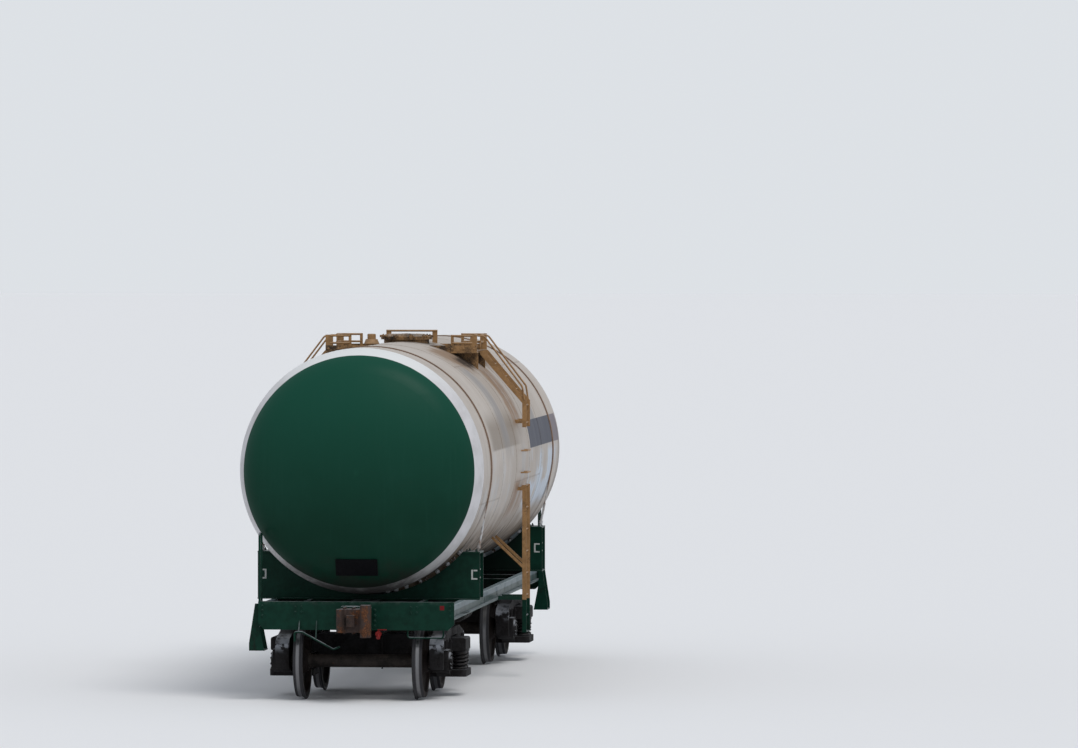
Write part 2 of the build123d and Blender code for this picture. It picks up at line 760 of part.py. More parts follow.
with BuildPart() as manhole_neck:
    with BuildSketch(Plane.XY.offset(manhole_top_z)):
        Circle(manhole_radius)
    extrude(amount=-tank_radius / 2)
    with BuildSketch(Plane.XY.offset(manhole_top_z - manhole_flange_thickness)):
        Circle(manhole_flange_radius)
    extrude(amount=manhole_flange_thickness)
    for side in (1, -1):
        with BuildSketch(Plane.XZ.offset(side * ear_y - ear_thickness / 2)):
            with Locations((lid_hinge_x - ear_reach, manhole_top_z - manhole_flange_thickness)):
                foot_length = ear_reach - lid_hinge_x - manhole_radius
                Rectangle(foot_length, manhole_flange_thickness, align=(Align.MIN, Align.MIN))
                Rectangle(2 * ear_reach - lid_hinge_radius, ear_height, align=(Align.MIN, Align.MIN))
            with Locations((lid_hinge_x, lid_hinge_z)):
                Circle(lid_hinge_radius + fit_gap, mode=Mode.SUBTRACT)
        extrude(amount=ear_thickness)
    add(barrel_room.part, mode=Mode.SUBTRACT)
    with BuildSketch(Plane.XY.offset(manhole_top_z)):
        Circle(manhole_bore_radius)
    extrude(amount=-tank_radius / 2, mode=Mode.SUBTRACT)
manhole_neck.part.label = "manhole_neck"
export_step(manhole_neck.part, "parts/manhole_neck.step")

with BuildPart() as manhole_lid:
    lid_low_z = manhole_top_z + lid_seal
    with BuildSketch(Plane.XY.offset(lid_low_z)):
        Circle(lid_radius)
    extrude(amount=lid_thickness)
    with BuildSketch(Plane.XY.offset(lid_low_z + lid_thickness)):
        Circle(lid_radius - lid_rim)
    extrude(amount=lid_crown, taper=45)
    with BuildSketch(Plane.XZ):
        with Locations((lid_hinge_x, lid_hinge_z)):
            Circle(lid_hinge_radius)
    extrude(amount=lid_hinge_half_length, both=True)
    with BuildSketch(Plane.XZ):
        with Locations((lid_hinge_x, lid_low_z)):
            Rectangle(lid_radius / 2, lid_thickness + lid_rim / 4, align=(Align.MIN, Align.MIN))
    extrude(amount=lid_arm_half_width, both=True)
manhole_lid.part.label = "manhole_lid"
export_step(manhole_lid.part, "parts/manhole_lid.step")

# Safety valve on its neck, under a sloped cover with a round cap on it
valve_x = 420
valve_y = -430
valve_radius = 85
valve_cover_radius = 105
valve_cover_height = 62
valve_cover_slope = 22
valve_cap_radius = 58
valve_cap_height = 73
valve_cap_round = 14
valve_neck_top_z = tank_top_z - 25

with BuildPart() as safety_valve:
    with BuildSketch(Plane.XY.offset(valve_neck_top_z)):
        with Locations((valve_x, valve_y)):
            Circle(valve_radius)
    extrude(amount=-tank_radius / 2)
    add(barrel_room.part, mode=Mode.SUBTRACT)
    with BuildSketch(Plane.XY.offset(valve_neck_top_z)):
        with Locations((valve_x, valve_y)):
            Circle(valve_cover_radius)
    extrude(amount=valve_cover_height, taper=valve_cover_slope)
    with BuildSketch(Plane.XY.offset(valve_neck_top_z + valve_cover_height)):
        with Locations((valve_x, valve_y)):
            Circle(valve_cap_radius)
    extrude(amount=valve_cap_height)
    fillet(safety_valve.faces().sort_by(Axis.Z)[-1].edges(), radius=valve_cap_round)
safety_valve.part.label = "safety_valve"
export_step(safety_valve.part, "parts/safety_valve.step")

# Walkway: a deck on each side of the manhole on bracket plates that stand on the barrel, with toe
# boards that run across its ends and on over the barrel
deck_drop = 120
deck_z = tank_top_z - deck_drop
deck_thickness = 30
deck_bottom_z = deck_z - deck_thickness
deck_touch_y = sqrt(tank_radius**2 - (deck_bottom_z - tank_axis_z) ** 2)
deck_inner_y = deck_touch_y + 5
deck_width = 356
deck_outer_y = deck_inner_y + deck_width
deck_middle_y = deck_inner_y + deck_width / 2
deck_half_length = 620
deck_bracket_x = 420
deck_bracket_plate = 12
toe_board_height = 75
toe_board_plate = 8
guard_post_y = 320
guard_post_width = 70
toe_board_inner_y = guard_post_y + guard_post_width
toe_board_width = deck_outer_y - toe_board_inner_y

with BuildPart() as walkway_decks:
    for side in (1, -1):
        with BuildSketch(Plane.XY.offset(deck_bottom_z)):
            with Locations((0, side * deck_middle_y)):
                Rectangle(2 * deck_half_length, deck_width)
        extrude(amount=deck_thickness)
        for end in (1, -1):
            with BuildSketch(Plane.XY.offset(deck_bottom_z)):
                toe_board_y = side * (toe_board_inner_y + toe_board_width / 2)
                with Locations((end * (deck_half_length - toe_board_plate / 2), toe_board_y)):
                    Rectangle(toe_board_plate, toe_board_width)
            extrude(amount=deck_thickness + toe_board_height)
            with BuildSketch(Plane.YZ.offset(end * deck_bracket_x - deck_bracket_plate / 2)):
                with BuildLine():
                    Polyline(
                        (side * deck_inner_y, deck_bottom_z),
                        (side * deck_outer_y, deck_bottom_z),
                        (side * deck_outer_y, tank_axis_z + tank_radius / 2),
                        close=True,
                    )
                make_face()
            extrude(amount=deck_bracket_plate)
    add(barrel_room.part, mode=Mode.SUBTRACT)
walkway_decks.part.label = "walkway_decks"
export_step(walkway_decks.part, "parts/walkway_decks.step")

# Railings across the deck's ends and along its outer edge as far as the ladder, and a guard rail
# beyond the lid's hinge on two posts that stand on the barrel
rail_height = 220
rail_middle_height = 120
rail_radius = 14
rail_bend = 40
rail_post_plate = 10
rail_outer_post = 90
rail_inner_post = 40
ladder_half_width = 225
rail_x = deck_half_length - toe_board_plate - rail_post_plate / 2 - fit_gap
rail_inner_y = deck_inner_y + rail_inner_post / 2
rail_outer_y = deck_outer_y - rail_outer_post / 2
guard_x = lid_hinge_x - 190
guard_rail_z = deck_z + 254

with BuildPart() as walkway_railings:
    for side in (1, -1):
        for end in (1, -1):
            with BuildSketch(Plane.XY.offset(deck_z)):
                for post_y, post_width in ((rail_inner_y, rail_inner_post), (rail_outer_y, rail_outer_post)):
                    with Locations((end * rail_x, side * post_y)):
                        Rectangle(rail_post_plate, post_width)
                with Locations((end * ladder_half_width, side * rail_outer_y)):
                    Rectangle(rail_inner_post, rail_post_plate)
            extrude(amount=rail_height)
            for height in (rail_height, rail_middle_height):
                rail_start = (end * rail_x, side * rail_inner_y, deck_z + height - rail_radius)
                with BuildLine():
                    FilletPolyline(
                        rail_start,
                        (end * rail_x, side * rail_outer_y, deck_z + height - rail_radius),
                        (end * ladder_half_width, side * rail_outer_y, deck_z + height - rail_radius),
                        radius=rail_bend,
                    )
                with BuildSketch(Plane(origin=rail_start, z_dir=(0, side, 0))):
                    Circle(rail_radius)
                sweep()
    with BuildSketch(Plane.YZ.offset(guard_x - rail_post_plate / 2)):
        for side in (1, -1):
            with Locations((side * guard_post_y, tank_axis_z)):
                post_length = guard_rail_z - tank_axis_z
                Rectangle(guard_post_width, post_length, align=(Align.CENTER, Align.MIN))
    extrude(amount=rail_post_plate)
    with BuildSketch(Plane.XZ):
        with Locations((guard_x, guard_rail_z)):
            Circle(rail_radius)
    extrude(amount=guard_post_y + guard_post_width / 2, both=True)
    add(barrel_room.part, mode=Mode.SUBTRACT)
walkway_railings.part.label = "walkway_railings"
export_step(walkway_railings.part, "parts/walkway_railings.step")

# SIDE LADDERS

# The upper ladder slants from the deck's edge down to the barrel's side and ends above its middle.
ladder_clear = 12
ladder_depth = 58
ladder_inner_y = tank_radius + ladder_clear
ladder_outer_y = ladder_inner_y + ladder_depth
ladder_middle_y = ladder_inner_y + ladder_depth / 2
ladder_head_height = 50
ladder_bend_rise = 800
ladder_bend_z = tank_axis_z + ladder_bend_rise
ladder_break_rise = 440
ladder_break_z = tank_axis_z + ladder_break_rise
stringer_plate = 10
rung_radius = 10
slanted_rungs = 3
upright_rung_z = (ladder_bend_z - 60, ladder_break_z + 60)

with BuildPart() as upper_ladders:
    for side in (1, -1):
        for stringer_x in (ladder_half_width, -ladder_half_width):
            with BuildSketch(Plane.YZ.offset(stringer_x - stringer_plate / 2)):
                with BuildLine():
                    Polyline(
                        (side * deck_outer_y, deck_z),
                        (side * (deck_outer_y + ladder_depth), deck_z),
                        (side * ladder_outer_y, ladder_bend_z),
                        (side * ladder_outer_y, ladder_break_z),
                        (side * ladder_inner_y, ladder_break_z),
                        (side * ladder_inner_y, ladder_bend_z - ladder_depth / 2),
                        (side * deck_outer_y, deck_z - ladder_head_height),
                        close=True,
                    )
                make_face()
            extrude(amount=stringer_plate)
        rungs = [(ladder_middle_y, rung_z) for rung_z in upright_rung_z]
        for rung in range(slanted_rungs):
            share = (rung + 1) / (slanted_rungs + 1)
            rung_y = deck_outer_y + ladder_depth / 2 + share * (ladder_inner_y - deck_outer_y)
            rungs.append((rung_y, deck_z - share * (deck_z - ladder_bend_z) - ladder_depth / 4))
        with BuildSketch(Plane.YZ.offset(-ladder_half_width)):
            for rung_y, rung_z in rungs:
                with Locations((side * rung_y, rung_z)):
                    Circle(rung_radius)
        extrude(amount=2 * ladder_half_width)
upper_ladders.part.label = "upper_ladders"
export_step(upper_ladders.part, "parts/upper_ladders.step")

# Handrails of the upper ladder, two on each side, from the deck's railing down to the bend
handrail_radius = 12
handrail_bend = 70
handrail_top_z = deck_z + 200
handrail_low_z = ladder_bend_z + 200
handrail_foot_z = ladder_bend_z + 20
handrail_x = ladder_half_width + stringer_plate / 2 + handrail_radius + fit_gap
handrail_start_y = rail_outer_y + rail_radius + fit_gap

with BuildPart() as ladder_handrails:
    for side in (1, -1):
        for end in (1, -1):
            rail_start = (end * handrail_x, side * handrail_start_y, handrail_top_z)
            with BuildLine():
                FilletPolyline(
                    rail_start,
                    (end * handrail_x, side * (deck_outer_y + ladder_depth), handrail_top_z),
                    (end * handrail_x, side * (ladder_outer_y - ladder_depth), handrail_low_z),
                    (end * handrail_x, side * (ladder_outer_y - ladder_depth / 2), handrail_foot_z),
                    radius=handrail_bend,
                )
            with BuildSketch(Plane(origin=rail_start, z_dir=(0, side, 0))):
                Circle(handrail_radius)
            sweep()
ladder_handrails.part.label = "ladder_handrails"
export_step(ladder_handrails.part, "parts/ladder_handrails.step")

# Between the two ladders, staple rungs are welded to the barrel.
staple_radius = 11
staple_reach = 75
staple_half_width = 200
staple_bend = 30
staple_above_axis = (120, -180)
staple_y = tank_radius + staple_reach
staple_root_y = tank_radius - 10

with BuildPart() as barrel_rungs:
    for side in (1, -1):
        for above in staple_above_axis:
            rung_z = tank_axis_z + above
            with BuildLine():
                FilletPolyline(
                    (staple_half_width, side * staple_root_y, rung_z),
                    (staple_half_width, side * staple_y, rung_z),
                    (-staple_half_width, side * staple_y, rung_z),
                    (-staple_half_width, side * staple_root_y, rung_z),
                    radius=staple_bend,
                )
            staple_start = (staple_half_width, side * staple_root_y, rung_z)
            with BuildSketch(Plane(origin=staple_start, z_dir=(0, side, 0))):
                Circle(staple_radius)
            sweep()
    add(barrel_room.part, mode=Mode.SUBTRACT)
barrel_rungs.part.label = "barrel_rungs"
export_step(barrel_rungs.part, "parts/barrel_rungs.step")

# The lower ladder stands between barrel and side sill, and steps hang below it.
lower_ladder_top_z = tank_axis_z - 350
lower_ladder_low_z = side_sill_bottom_z
steps_low_z = axle_z + 124.5
rung_pitch = 300
rung_start = 60

with BuildPart() as lower_ladders:
    for side in (1, -1):
        for stringer_x in (ladder_half_width, -ladder_half_width):
            with BuildSketch(Plane.XY.offset(lower_ladder_low_z)):
                with Locations((stringer_x, side * ladder_middle_y)):
                    Rectangle(stringer_plate, ladder_depth)
            extrude(amount=lower_ladder_top_z - lower_ladder_low_z)
        with BuildSketch(Plane.YZ.offset(-ladder_half_width)):
            for rung in range(int((lower_ladder_top_z - lower_ladder_low_z - rung_start) / rung_pitch) + 1):
                with Locations((side * ladder_middle_y, lower_ladder_low_z + rung_start + rung * rung_pitch)):
                    Circle(rung_radius)
        extrude(amount=2 * ladder_half_width)
lower_ladders.part.label = "lower_ladders"
export_step(lower_ladders.part, "parts/lower_ladders.step")

with BuildPart() as ladder_steps:
    for side in (1, -1):
        for stringer_x in (ladder_half_width, -ladder_half_width):
            with BuildSketch(Plane.XY.offset(steps_low_z)):
                with Locations((stringer_x, side * ladder_middle_y)):
                    Rectangle(stringer_plate, ladder_depth)
            extrude(amount=lower_ladder_low_z - fit_gap - steps_low_z)
        with BuildSketch(Plane.XY.offset(steps_low_z)):
            with Locations((0, side * ladder_middle_y)):
                Rectangle(2 * ladder_half_width, ladder_depth)
        extrude(amount=stringer_plate)
        with BuildSketch(Plane.YZ.offset(-ladder_half_width)):
            with Locations((side * ladder_middle_y, (steps_low_z + lower_ladder_low_z) / 2)):
                Circle(rung_radius)
        extrude(amount=2 * ladder_half_width)
ladder_steps.part.label = "ladder_steps"
export_step(ladder_steps.part, "parts/ladder_steps.step")

# Brackets tie the ladders to barrel and side sill: flat bars at these heights, and slanted braces
# from the barrel's underside.
bracket_plate = 10
bracket_height = 50
bracket_root = 150
barrel_bracket_z = (ladder_break_z + 80, lower_ladder_top_z - 50)
sill_bracket_z = side_sill_bottom_z + bracket_height / 2
brace_angle = 41
brace_height = 52
brace_foot_rise = 437
brace_foot_z = side_sill_bottom_z + brace_foot_rise
brace_root_y = tank_radius * cos(radians(brace_angle)) - brace_height
brace_root_z = tank_axis_z - tank_radius * sin(radians(brace_angle))

with BuildPart() as ladder_brackets:
    for side in (1, -1):
        for bracket_x in (ladder_half_width, -ladder_half_width):
            with BuildSketch(Plane.YZ.offset(bracket_x - bracket_plate / 2)):
                for bracket_z in barrel_bracket_z:
                    with Locations((side * (ladder_inner_y - bracket_root / 2), bracket_z)):
                        Rectangle(bracket_root, bracket_height)
                with Locations((side * (side_sill_y + ladder_inner_y) / 2, sill_bracket_z)):
                    Rectangle(ladder_inner_y - side_sill_y, bracket_height)
                with BuildLine():
                    Polyline(
                        (side * brace_root_y, brace_root_z + brace_height),
                        (side * ladder_inner_y, brace_foot_z + brace_height),
                        (side * ladder_inner_y, brace_foot_z),
                        (side * brace_root_y, brace_root_z),
                        close=True,
                    )
                make_face()
            extrude(amount=bracket_plate)
    add(barrel_room.part, mode=Mode.SUBTRACT)
ladder_brackets.part.label = "ladder_brackets"
export_step(ladder_brackets.part, "parts/ladder_brackets.step")

# BOGIES

# The pieces of a bogie are built once around X = 0 and then placed under both ends, the rear one
# turned about. Outlines have rows of two positions and the corner's radius.
side_frame_thickness = 180
box_half_width = 159
box_gap = 6
jaw_column = 70
frame_nose = 116
jaw_inner_x = wheelbase / 2 - box_half_width - box_gap
jaw_outer_x = wheelbase / 2 + box_half_width + box_gap
side_frame_half_length = jaw_outer_x + frame_nose
side_window_end_x = jaw_inner_x - jaw_column
chord_bend_x = jaw_inner_x - 120
jaw_low_z = axle_z - 100
box_roof_z = axle_z + 155
window_half_width = 318
side_window_start_x = window_half_width + 62
window_top_z = bolster_end_z + 25
top_chord_z = window_top_z + 105
spring_seat_thickness = 90
spring_seat_corner = 60
spring_seat_bottom_z = spring_seat_z - spring_seat_thickness
spring_pitch = 203
spring_outer_radius = 100
spring_core_radius = 84
spring_turns = 6
spring_group_half_width = 290
side_frame_inner_y = journal_y - side_frame_thickness / 2
side_frame_outline = (
    (0, spring_seat_bottom_z, 0),
    (window_half_width + 12, spring_seat_bottom_z, 60),
    (side_window_end_x, jaw_low_z, 50),
    (jaw_inner_x, jaw_low_z, 12),
    (jaw_inner_x, box_roof_z, 5),
    (jaw_outer_x, box_roof_z, 5),
    (jaw_outer_x, jaw_low_z, 12),
    (jaw_outer_x + jaw_column, jaw_low_z, 25),
    (side_frame_half_length, axle_z + 90, 30),
    (side_frame_half_length, box_roof_z + 80, 30),
    (jaw_outer_x + 30, box_roof_z + 140, 60),
    (chord_bend_x, top_chord_z, 90),
    (0, top_chord_z, 0),
)
side_window_outline = (
    (side_window_start_x, spring_seat_z + 20, 35),
    (side_window_end_x, axle_z + 10, 35),
    (side_window_end_x, box_roof_z + 60, 35),
    (side_window_start_x, window_top_z, 35),
)

with BuildPart() as side_frames:
    for side in (1, -1):
        with BuildSketch(Plane.XZ.offset(-side * journal_y)):
            for rows, mode in ((side_frame_outline, Mode.ADD), (side_window_outline, Mode.SUBTRACT)):
                with BuildLine():
                    corners = [(along, height) for along, height, radius in rows]
                    FilletPolyline(*corners, radius=[row[2] for row in rows], close=True)
                make_face(mode=mode)
            with Locations((0, spring_seat_z)):
                Rectangle(
                    2 * window_half_width,
                    window_top_z - spring_seat_z,
                    align=(Align.CENTER, Align.MIN),
                    mode=Mode.SUBTRACT,
                )
            mirror(about=Plane.YZ)
        extrude(amount=side_frame_thickness / 2, both=True)
        with BuildSketch(Plane.XY.offset(spring_seat_bottom_z)):
            with Locations((0, side * journal_y)):
                RectangleRounded(2 * window_half_width, 2 * spring_group_half_width, spring_seat_corner)
        extrude(amount=spring_seat_thickness)

# The springs of one group stand in a hexagon around a middle one, each a stack of turns.
with BuildPart() as spring:
    with BuildSketch(Plane.XZ):
        with BuildLine():
            turn_height = spring_height / spring_turns
            profile = [(0, spring_seat_z), (spring_core_radius, spring_seat_z)]
            for turn in range(spring_turns):
                profile.append((spring_outer_radius, spring_seat_z + (turn + 0.5) * turn_height))
                profile.append((spring_core_radius, spring_seat_z + (turn + 1) * turn_height))
            Polyline(*profile, (0, spring_top_z), close=True)
        make_face()
    revolve(axis=Axis.Z)

with BuildPart() as springs:
    with Locations((0, journal_y, 0), (0, -journal_y, 0)):
        add(spring.part)
        with PolarLocations(spring_pitch, 6):
            add(spring.part)

# The bolster rests on both spring groups, with wedges against the windows' sides, the bowl that
# holds the car's centre plate and the lower side bearers.
bolster_end_inset = 10
bolster_half_length = journal_y + spring_group_half_width - bolster_end_inset
bolster_half_width = 270
bolster_middle_z = spring_top_z - 121
bolster_top_z = centre_plate_z - 15
bowl_clear = 15
bowl_wall = 20
bowl_height = 45
bearer_block_length = 240
bearer_block_width = 110
wedge_gap = 4
wedge_height = 150
bolster_outline = (
    (0, bolster_middle_z, 0),
    (450, bolster_middle_z, 80),
    (journal_y - spring_group_half_width, spring_top_z, 60),
    (bolster_half_length, spring_top_z, 20),
    (bolster_half_length, bolster_end_z, 30),
    (900, bolster_end_z, 60),
    (700, bolster_top_z, 60),
    (0, bolster_top_z, 0),
)

with BuildPart() as bolster:
    with BuildSketch(Plane.YZ):
        with BuildLine():
            corners = [(sideways, height) for sideways, height, radius in bolster_outline]
            FilletPolyline(*corners, radius=[row[2] for row in bolster_outline], close=True)
        make_face()
        mirror(about=Plane.YZ)
    extrude(amount=bolster_half_width, both=True)
    with BuildSketch(Plane.XZ):
        with Locations((0, spring_top_z)):
            wedge_reach = window_half_width - wedge_gap
            Rectangle(2 * wedge_reach, wedge_height, align=(Align.CENTER, Align.MIN))
    extrude(amount=journal_y + side_frame_thickness / 2, both=True)
    with BuildSketch(Plane.XZ):
        with Locations((0, spring_top_z)):
            for side in (1, -1):
                with Locations((side * (bolster_half_width + wedge_reach) / 2, 0)):
                    Rectangle(wedge_reach - bolster_half_width, wedge_height, align=(Align.CENTER, Align.MIN))
    extrude(amount=side_frame_inner_y, both=True, mode=Mode.SUBTRACT)
    with BuildSketch(Plane.XY.offset(bolster_top_z)):
        Circle(centre_plate_radius + bowl_clear + bowl_wall)
    extrude(amount=bowl_height)
    with BuildSketch(Plane.XY.offset(centre_plate_z)):
        Circle(centre_plate_radius + bowl_clear)
    extrude(amount=bowl_height, mode=Mode.SUBTRACT)
    with BuildSketch(Plane.XY.offset(side_bearer_z - side_bearer_gap)):
        with Locations((0, side_bearer_y), (0, -side_bearer_y)):
            Rectangle(bearer_block_length, bearer_block_width)
    extrude(amount=bolster_end_z - side_bearer_z + side_bearer_gap)

# Axle boxes in the jaws, closed outwards by a round cover
axle_box_radius = 150
axle_box_inner_y = 930
axle_box_outer_y = 1160
axle_cover_radius = 120
axle_cover_thickness = 25
journal_radius = 65
axle_end_y = 1108
axle_end_gap = 8

with BuildPart() as axle_boxes:
    for side in (1, -1):
        for end in (1, -1):
            box_start = (end * wheelbase / 2, side * axle_box_inner_y, axle_z)
            box_end = (end * wheelbase / 2, side * axle_box_outer_y, axle_z)
            with BuildSketch(Plane(origin=box_start, x_dir=(-side, 0, 0), z_dir=(0, side, 0))):
                Circle(axle_box_radius)
                Rectangle(2 * box_half_width, box_roof_z - axle_z, align=(Align.CENTER, Align.MIN))
            extrude(amount=axle_box_outer_y - axle_box_inner_y)
            with BuildSketch(Plane(origin=box_end, z_dir=(0, side, 0))):
                Circle(axle_cover_radius)
            extrude(amount=axle_cover_thickness)
            with BuildSketch(Plane(origin=box_start, z_dir=(0, side, 0))):
                Circle(journal_radius + fit_gap)
            extrude(amount=axle_end_y + axle_end_gap - axle_box_inner_y, mode=Mode.SUBTRACT)

# Brake beams hang on the side frames before the wheels, with shoes at their ends, a strut that
# stiffens each and levers that a rod under the bolster joins.
beam_drop = 66.5
brake_beam_z = axle_z - beam_drop
brake_beam_radius = 32
shoe_gap = 8
shoe_thickness = 55
shoe_width = 85
shoe_half_angle = 20
shoe_overlap = 12
tread_y = (wheel_back_to_back + rim_width) / 2 + 20
brake_beam_x = wheelbase / 2 - wheel_radius - shoe_gap - shoe_thickness - brake_beam_radius + shoe_overlap
hanger_width = 30
hanger_pin_radius = 18
hanger_pin_length = side_frame_inner_y - tread_y
strut_half_thickness = 15
strut_base_y = 600
strut_reach = 210
strut_bar = 60
lever_width = 60
lever_plate = 16
lever_y = 200
lever_low_z = brake_beam_z - 70
lever_top_z = centre_plate_z + 36
link_radius = 14
link_z = lever_low_z + 25

with BuildPart() as brake_beams:
    for end in (1, -1):
        beam_x = end * brake_beam_x
        with BuildSketch(Plane.XZ):
            with Locations((beam_x, brake_beam_z)):
                Circle(brake_beam_radius)
        extrude(amount=tread_y, both=True)
        with BuildSketch(Plane.XY.offset(brake_beam_z)):
            for half_base, reach, mode in (
                (strut_base_y, strut_reach, Mode.ADD),
                (strut_base_y - 3 * strut_bar, strut_reach - strut_bar, Mode.SUBTRACT),
            ):
                with BuildLine():
                    Polyline(
                        (beam_x, half_base),
                        (beam_x, -half_base),
                        (beam_x - end * reach, 0),
                        close=True,
                    )
                make_face(mode=mode)
            with Locations((beam_x - end * strut_reach / 2, 0)):
                Rectangle(strut_reach, strut_bar)
        extrude(amount=strut_half_thickness, both=True)
        for side in (1, -1):
            with BuildSketch(Plane.XZ.offset(-side * tread_y)):
                with BuildLine():
                    start = (180 if end > 0 else 0) - shoe_half_angle
                    wheel_centre = (end * wheelbase / 2, axle_z)
                    shoe_radius = wheel_radius + shoe_gap
                    near = CenterArc(wheel_centre, shoe_radius, start, 2 * shoe_half_angle)
                    far = CenterArc(wheel_centre, shoe_radius + shoe_thickness, start, 2 * shoe_half_angle)
                    Line(near @ 0, far @ 0)
                    Line(near @ 1, far @ 1)
                make_face()
            extrude(amount=shoe_width / 2, both=True)
            with BuildSketch(Plane.XZ.offset(-side * tread_y)):
                with Locations((beam_x, brake_beam_z)):
                    hanger_height = window_top_z + hanger_pin_radius - brake_beam_z
                    Rectangle(hanger_width, hanger_height, align=(Align.CENTER, Align.MIN))
            extrude(amount=hanger_width / 2, both=True)
            with BuildSketch(Plane.XZ.offset(-side * (tread_y + hanger_pin_length / 2))):
                with Locations((beam_x, window_top_z)):
                    Circle(hanger_pin_radius)
            extrude(amount=hanger_pin_length / 2, both=True)
    for beam_x, top_z in ((-brake_beam_x, lever_top_z), (brake_beam_x, bolster_end_z)):
        with BuildSketch(Plane.XZ.offset(-lever_y)):
            with Locations((beam_x, lever_low_z)):
                Rectangle(lever_width, top_z - lever_low_z, align=(Align.CENTER, Align.MIN))
        extrude(amount=lever_plate / 2, both=True)
    with BuildSketch(Plane.YZ):
        with Locations((lever_y, link_z)):
            Circle(link_radius)
    extrude(amount=brake_beam_x, both=True)

bogie_pieces = (
    ("side_frames", side_frames),
    ("springs", springs),
    ("bolster", bolster),
    ("axle_boxes", axle_boxes),
    ("brake_beams", brake_beams),
)
for bogie, middle_x, turn in (("bogie_front", bogie_x, 0), ("bogie_rear", -bogie_x, 180)):
    for piece_name, piece in bogie_pieces:
        with BuildPart() as placed:
            with Locations(Location((middle_x, 0, 0), (0, 0, turn))):
                add(piece.part)
        placed.part.label = f"{bogie}_{piece_name}"
        export_step(placed.part, f"parts/{bogie}_{piece_name}.step")

# WHEELSETS

axle_radius = 86
axle_cone_length = 40
axle_collar_radius = journal_radius + 18
axle_collar_gap = 12
wheel_seat_radius = 97
hub_radius = 135
hub_inner_y = 700
hub_outer_y = 885
rim_depth = 65
rim_inner_y = wheel_back_to_back / 2
rim_outer_y = rim_inner_y + rim_width
rim_inside_radius = wheel_radius - rim_depth
tread_fall = 6
flange_width = 33
flange_top_radius = wheel_radius + flange_height
web_thickness = 24
web_inner_y = rim_inner_y + 50
web_offset = 20
web_rim_radius = rim_inside_radius - 30
web_hub_radius = hub_radius + 30

# Half profile of the axle, as the distance from the middle and the radius at each step
axle_steps = (
    (0, axle_radius),
    (hub_inner_y - axle_cone_length, axle_radius),
    (hub_inner_y, wheel_seat_radius),
    (hub_outer_y, wheel_seat_radius),
    (hub_outer_y, axle_collar_radius),
    (axle_box_inner_y - axle_collar_gap, axle_collar_radius),
    (axle_box_inner_y, journal_radius),
    (axle_end_y, journal_radius),
    (axle_end_y, 0),
    (0, 0),
)

# Profile of a wheel: rows of the distance from the middle, the distance from the axis and the
# corner's radius
wheel_steps = (
    (hub_inner_y, wheel_seat_radius, 0),
    (hub_inner_y, hub_radius, 12),
    (web_inner_y, web_hub_radius, 40),
    (web_inner_y + web_offset, web_rim_radius, 40),
    (rim_inner_y, rim_inside_radius, 12),
    (rim_inner_y, flange_top_radius - 8, 6),
    (rim_inner_y + 10, flange_top_radius, 6),
    (rim_inner_y + 20, flange_top_radius, 6),
    (rim_inner_y + flange_width, wheel_radius + 3, 13),
    (rim_outer_y, wheel_radius - tread_fall, 6),
    (rim_outer_y, rim_inside_radius, 12),
    (web_inner_y + web_offset + web_thickness, web_rim_radius, 40),
    (web_inner_y + web_thickness, web_hub_radius, 40),
    (hub_outer_y, hub_radius, 12),
    (hub_outer_y, wheel_seat_radius, 0),
)
axle_line = Axis((0, 0, axle_z), (0, 1, 0))

with BuildPart() as axle:
    with BuildSketch(Plane(origin=(0, 0, axle_z), x_dir=(0, 1, 0), z_dir=(1, 0, 0))):
        with BuildLine():
            Polyline(*axle_steps, close=True)
        make_face()
        mirror(about=Plane.YZ)
    revolve(axis=axle_line)

with BuildPart() as wheels:
    with BuildSketch(Plane(origin=(0, 0, axle_z), x_dir=(0, 1, 0), z_dir=(1, 0, 0))):
        with BuildLine():
            corners = [(sideways, distance) for sideways, distance, radius in wheel_steps]
            FilletPolyline(*corners, radius=[row[2] for row in wheel_steps], close=True)
        make_face()
        mirror(about=Plane.YZ)
    revolve(axis=axle_line)

wheelset_x = (
    bogie_x + wheelbase / 2,
    bogie_x - wheelbase / 2,
    wheelbase / 2 - bogie_x,
    -bogie_x - wheelbase / 2,
)
for number, middle_x in enumerate(wheelset_x, 1):
    for piece_name, piece in (("axle", axle), ("wheels", wheels)):
        with BuildPart() as placed:
            with Locations((middle_x, 0, 0)):
                add(piece.part)
        placed.part.label = f"wheelset_{number}_{piece_name}"
        export_step(placed.part, f"parts/wheelset_{number}_{piece_name}.step")

# BOTTOM OUTLET AND BRAKE GEAR

outlet_radius = 110
outlet_flange_radius = 145
outlet_flange_thickness = 40
outlet_cap_radius = 85
outlet_cap_height = 55
outlet_low_z = centre_sill_bottom_z - 208

with BuildPart() as bottom_outlet:
    with BuildSketch(Plane.XY.offset(outlet_low_z)):
        Circle(outlet_radius)
    extrude(amount=tank_axis_z - tank_radius + outlet_flange_thickness - outlet_low_z)
    with BuildSketch(Plane.XY.offset(outlet_low_z)):
        Circle(outlet_flange_radius)
    extrude(amount=outlet_flange_thickness)
    with BuildSketch(Plane.XY.offset(outlet_low_z)):
        Circle(outlet_cap_radius)
    extrude(amount=-outlet_cap_height, taper=10)
    add(barrel_room.part, mode=Mode.SUBTRACT)
bottom_outlet.part.label = "bottom_outlet"
export_step(bottom_outlet.part, "parts/bottom_outlet.step")

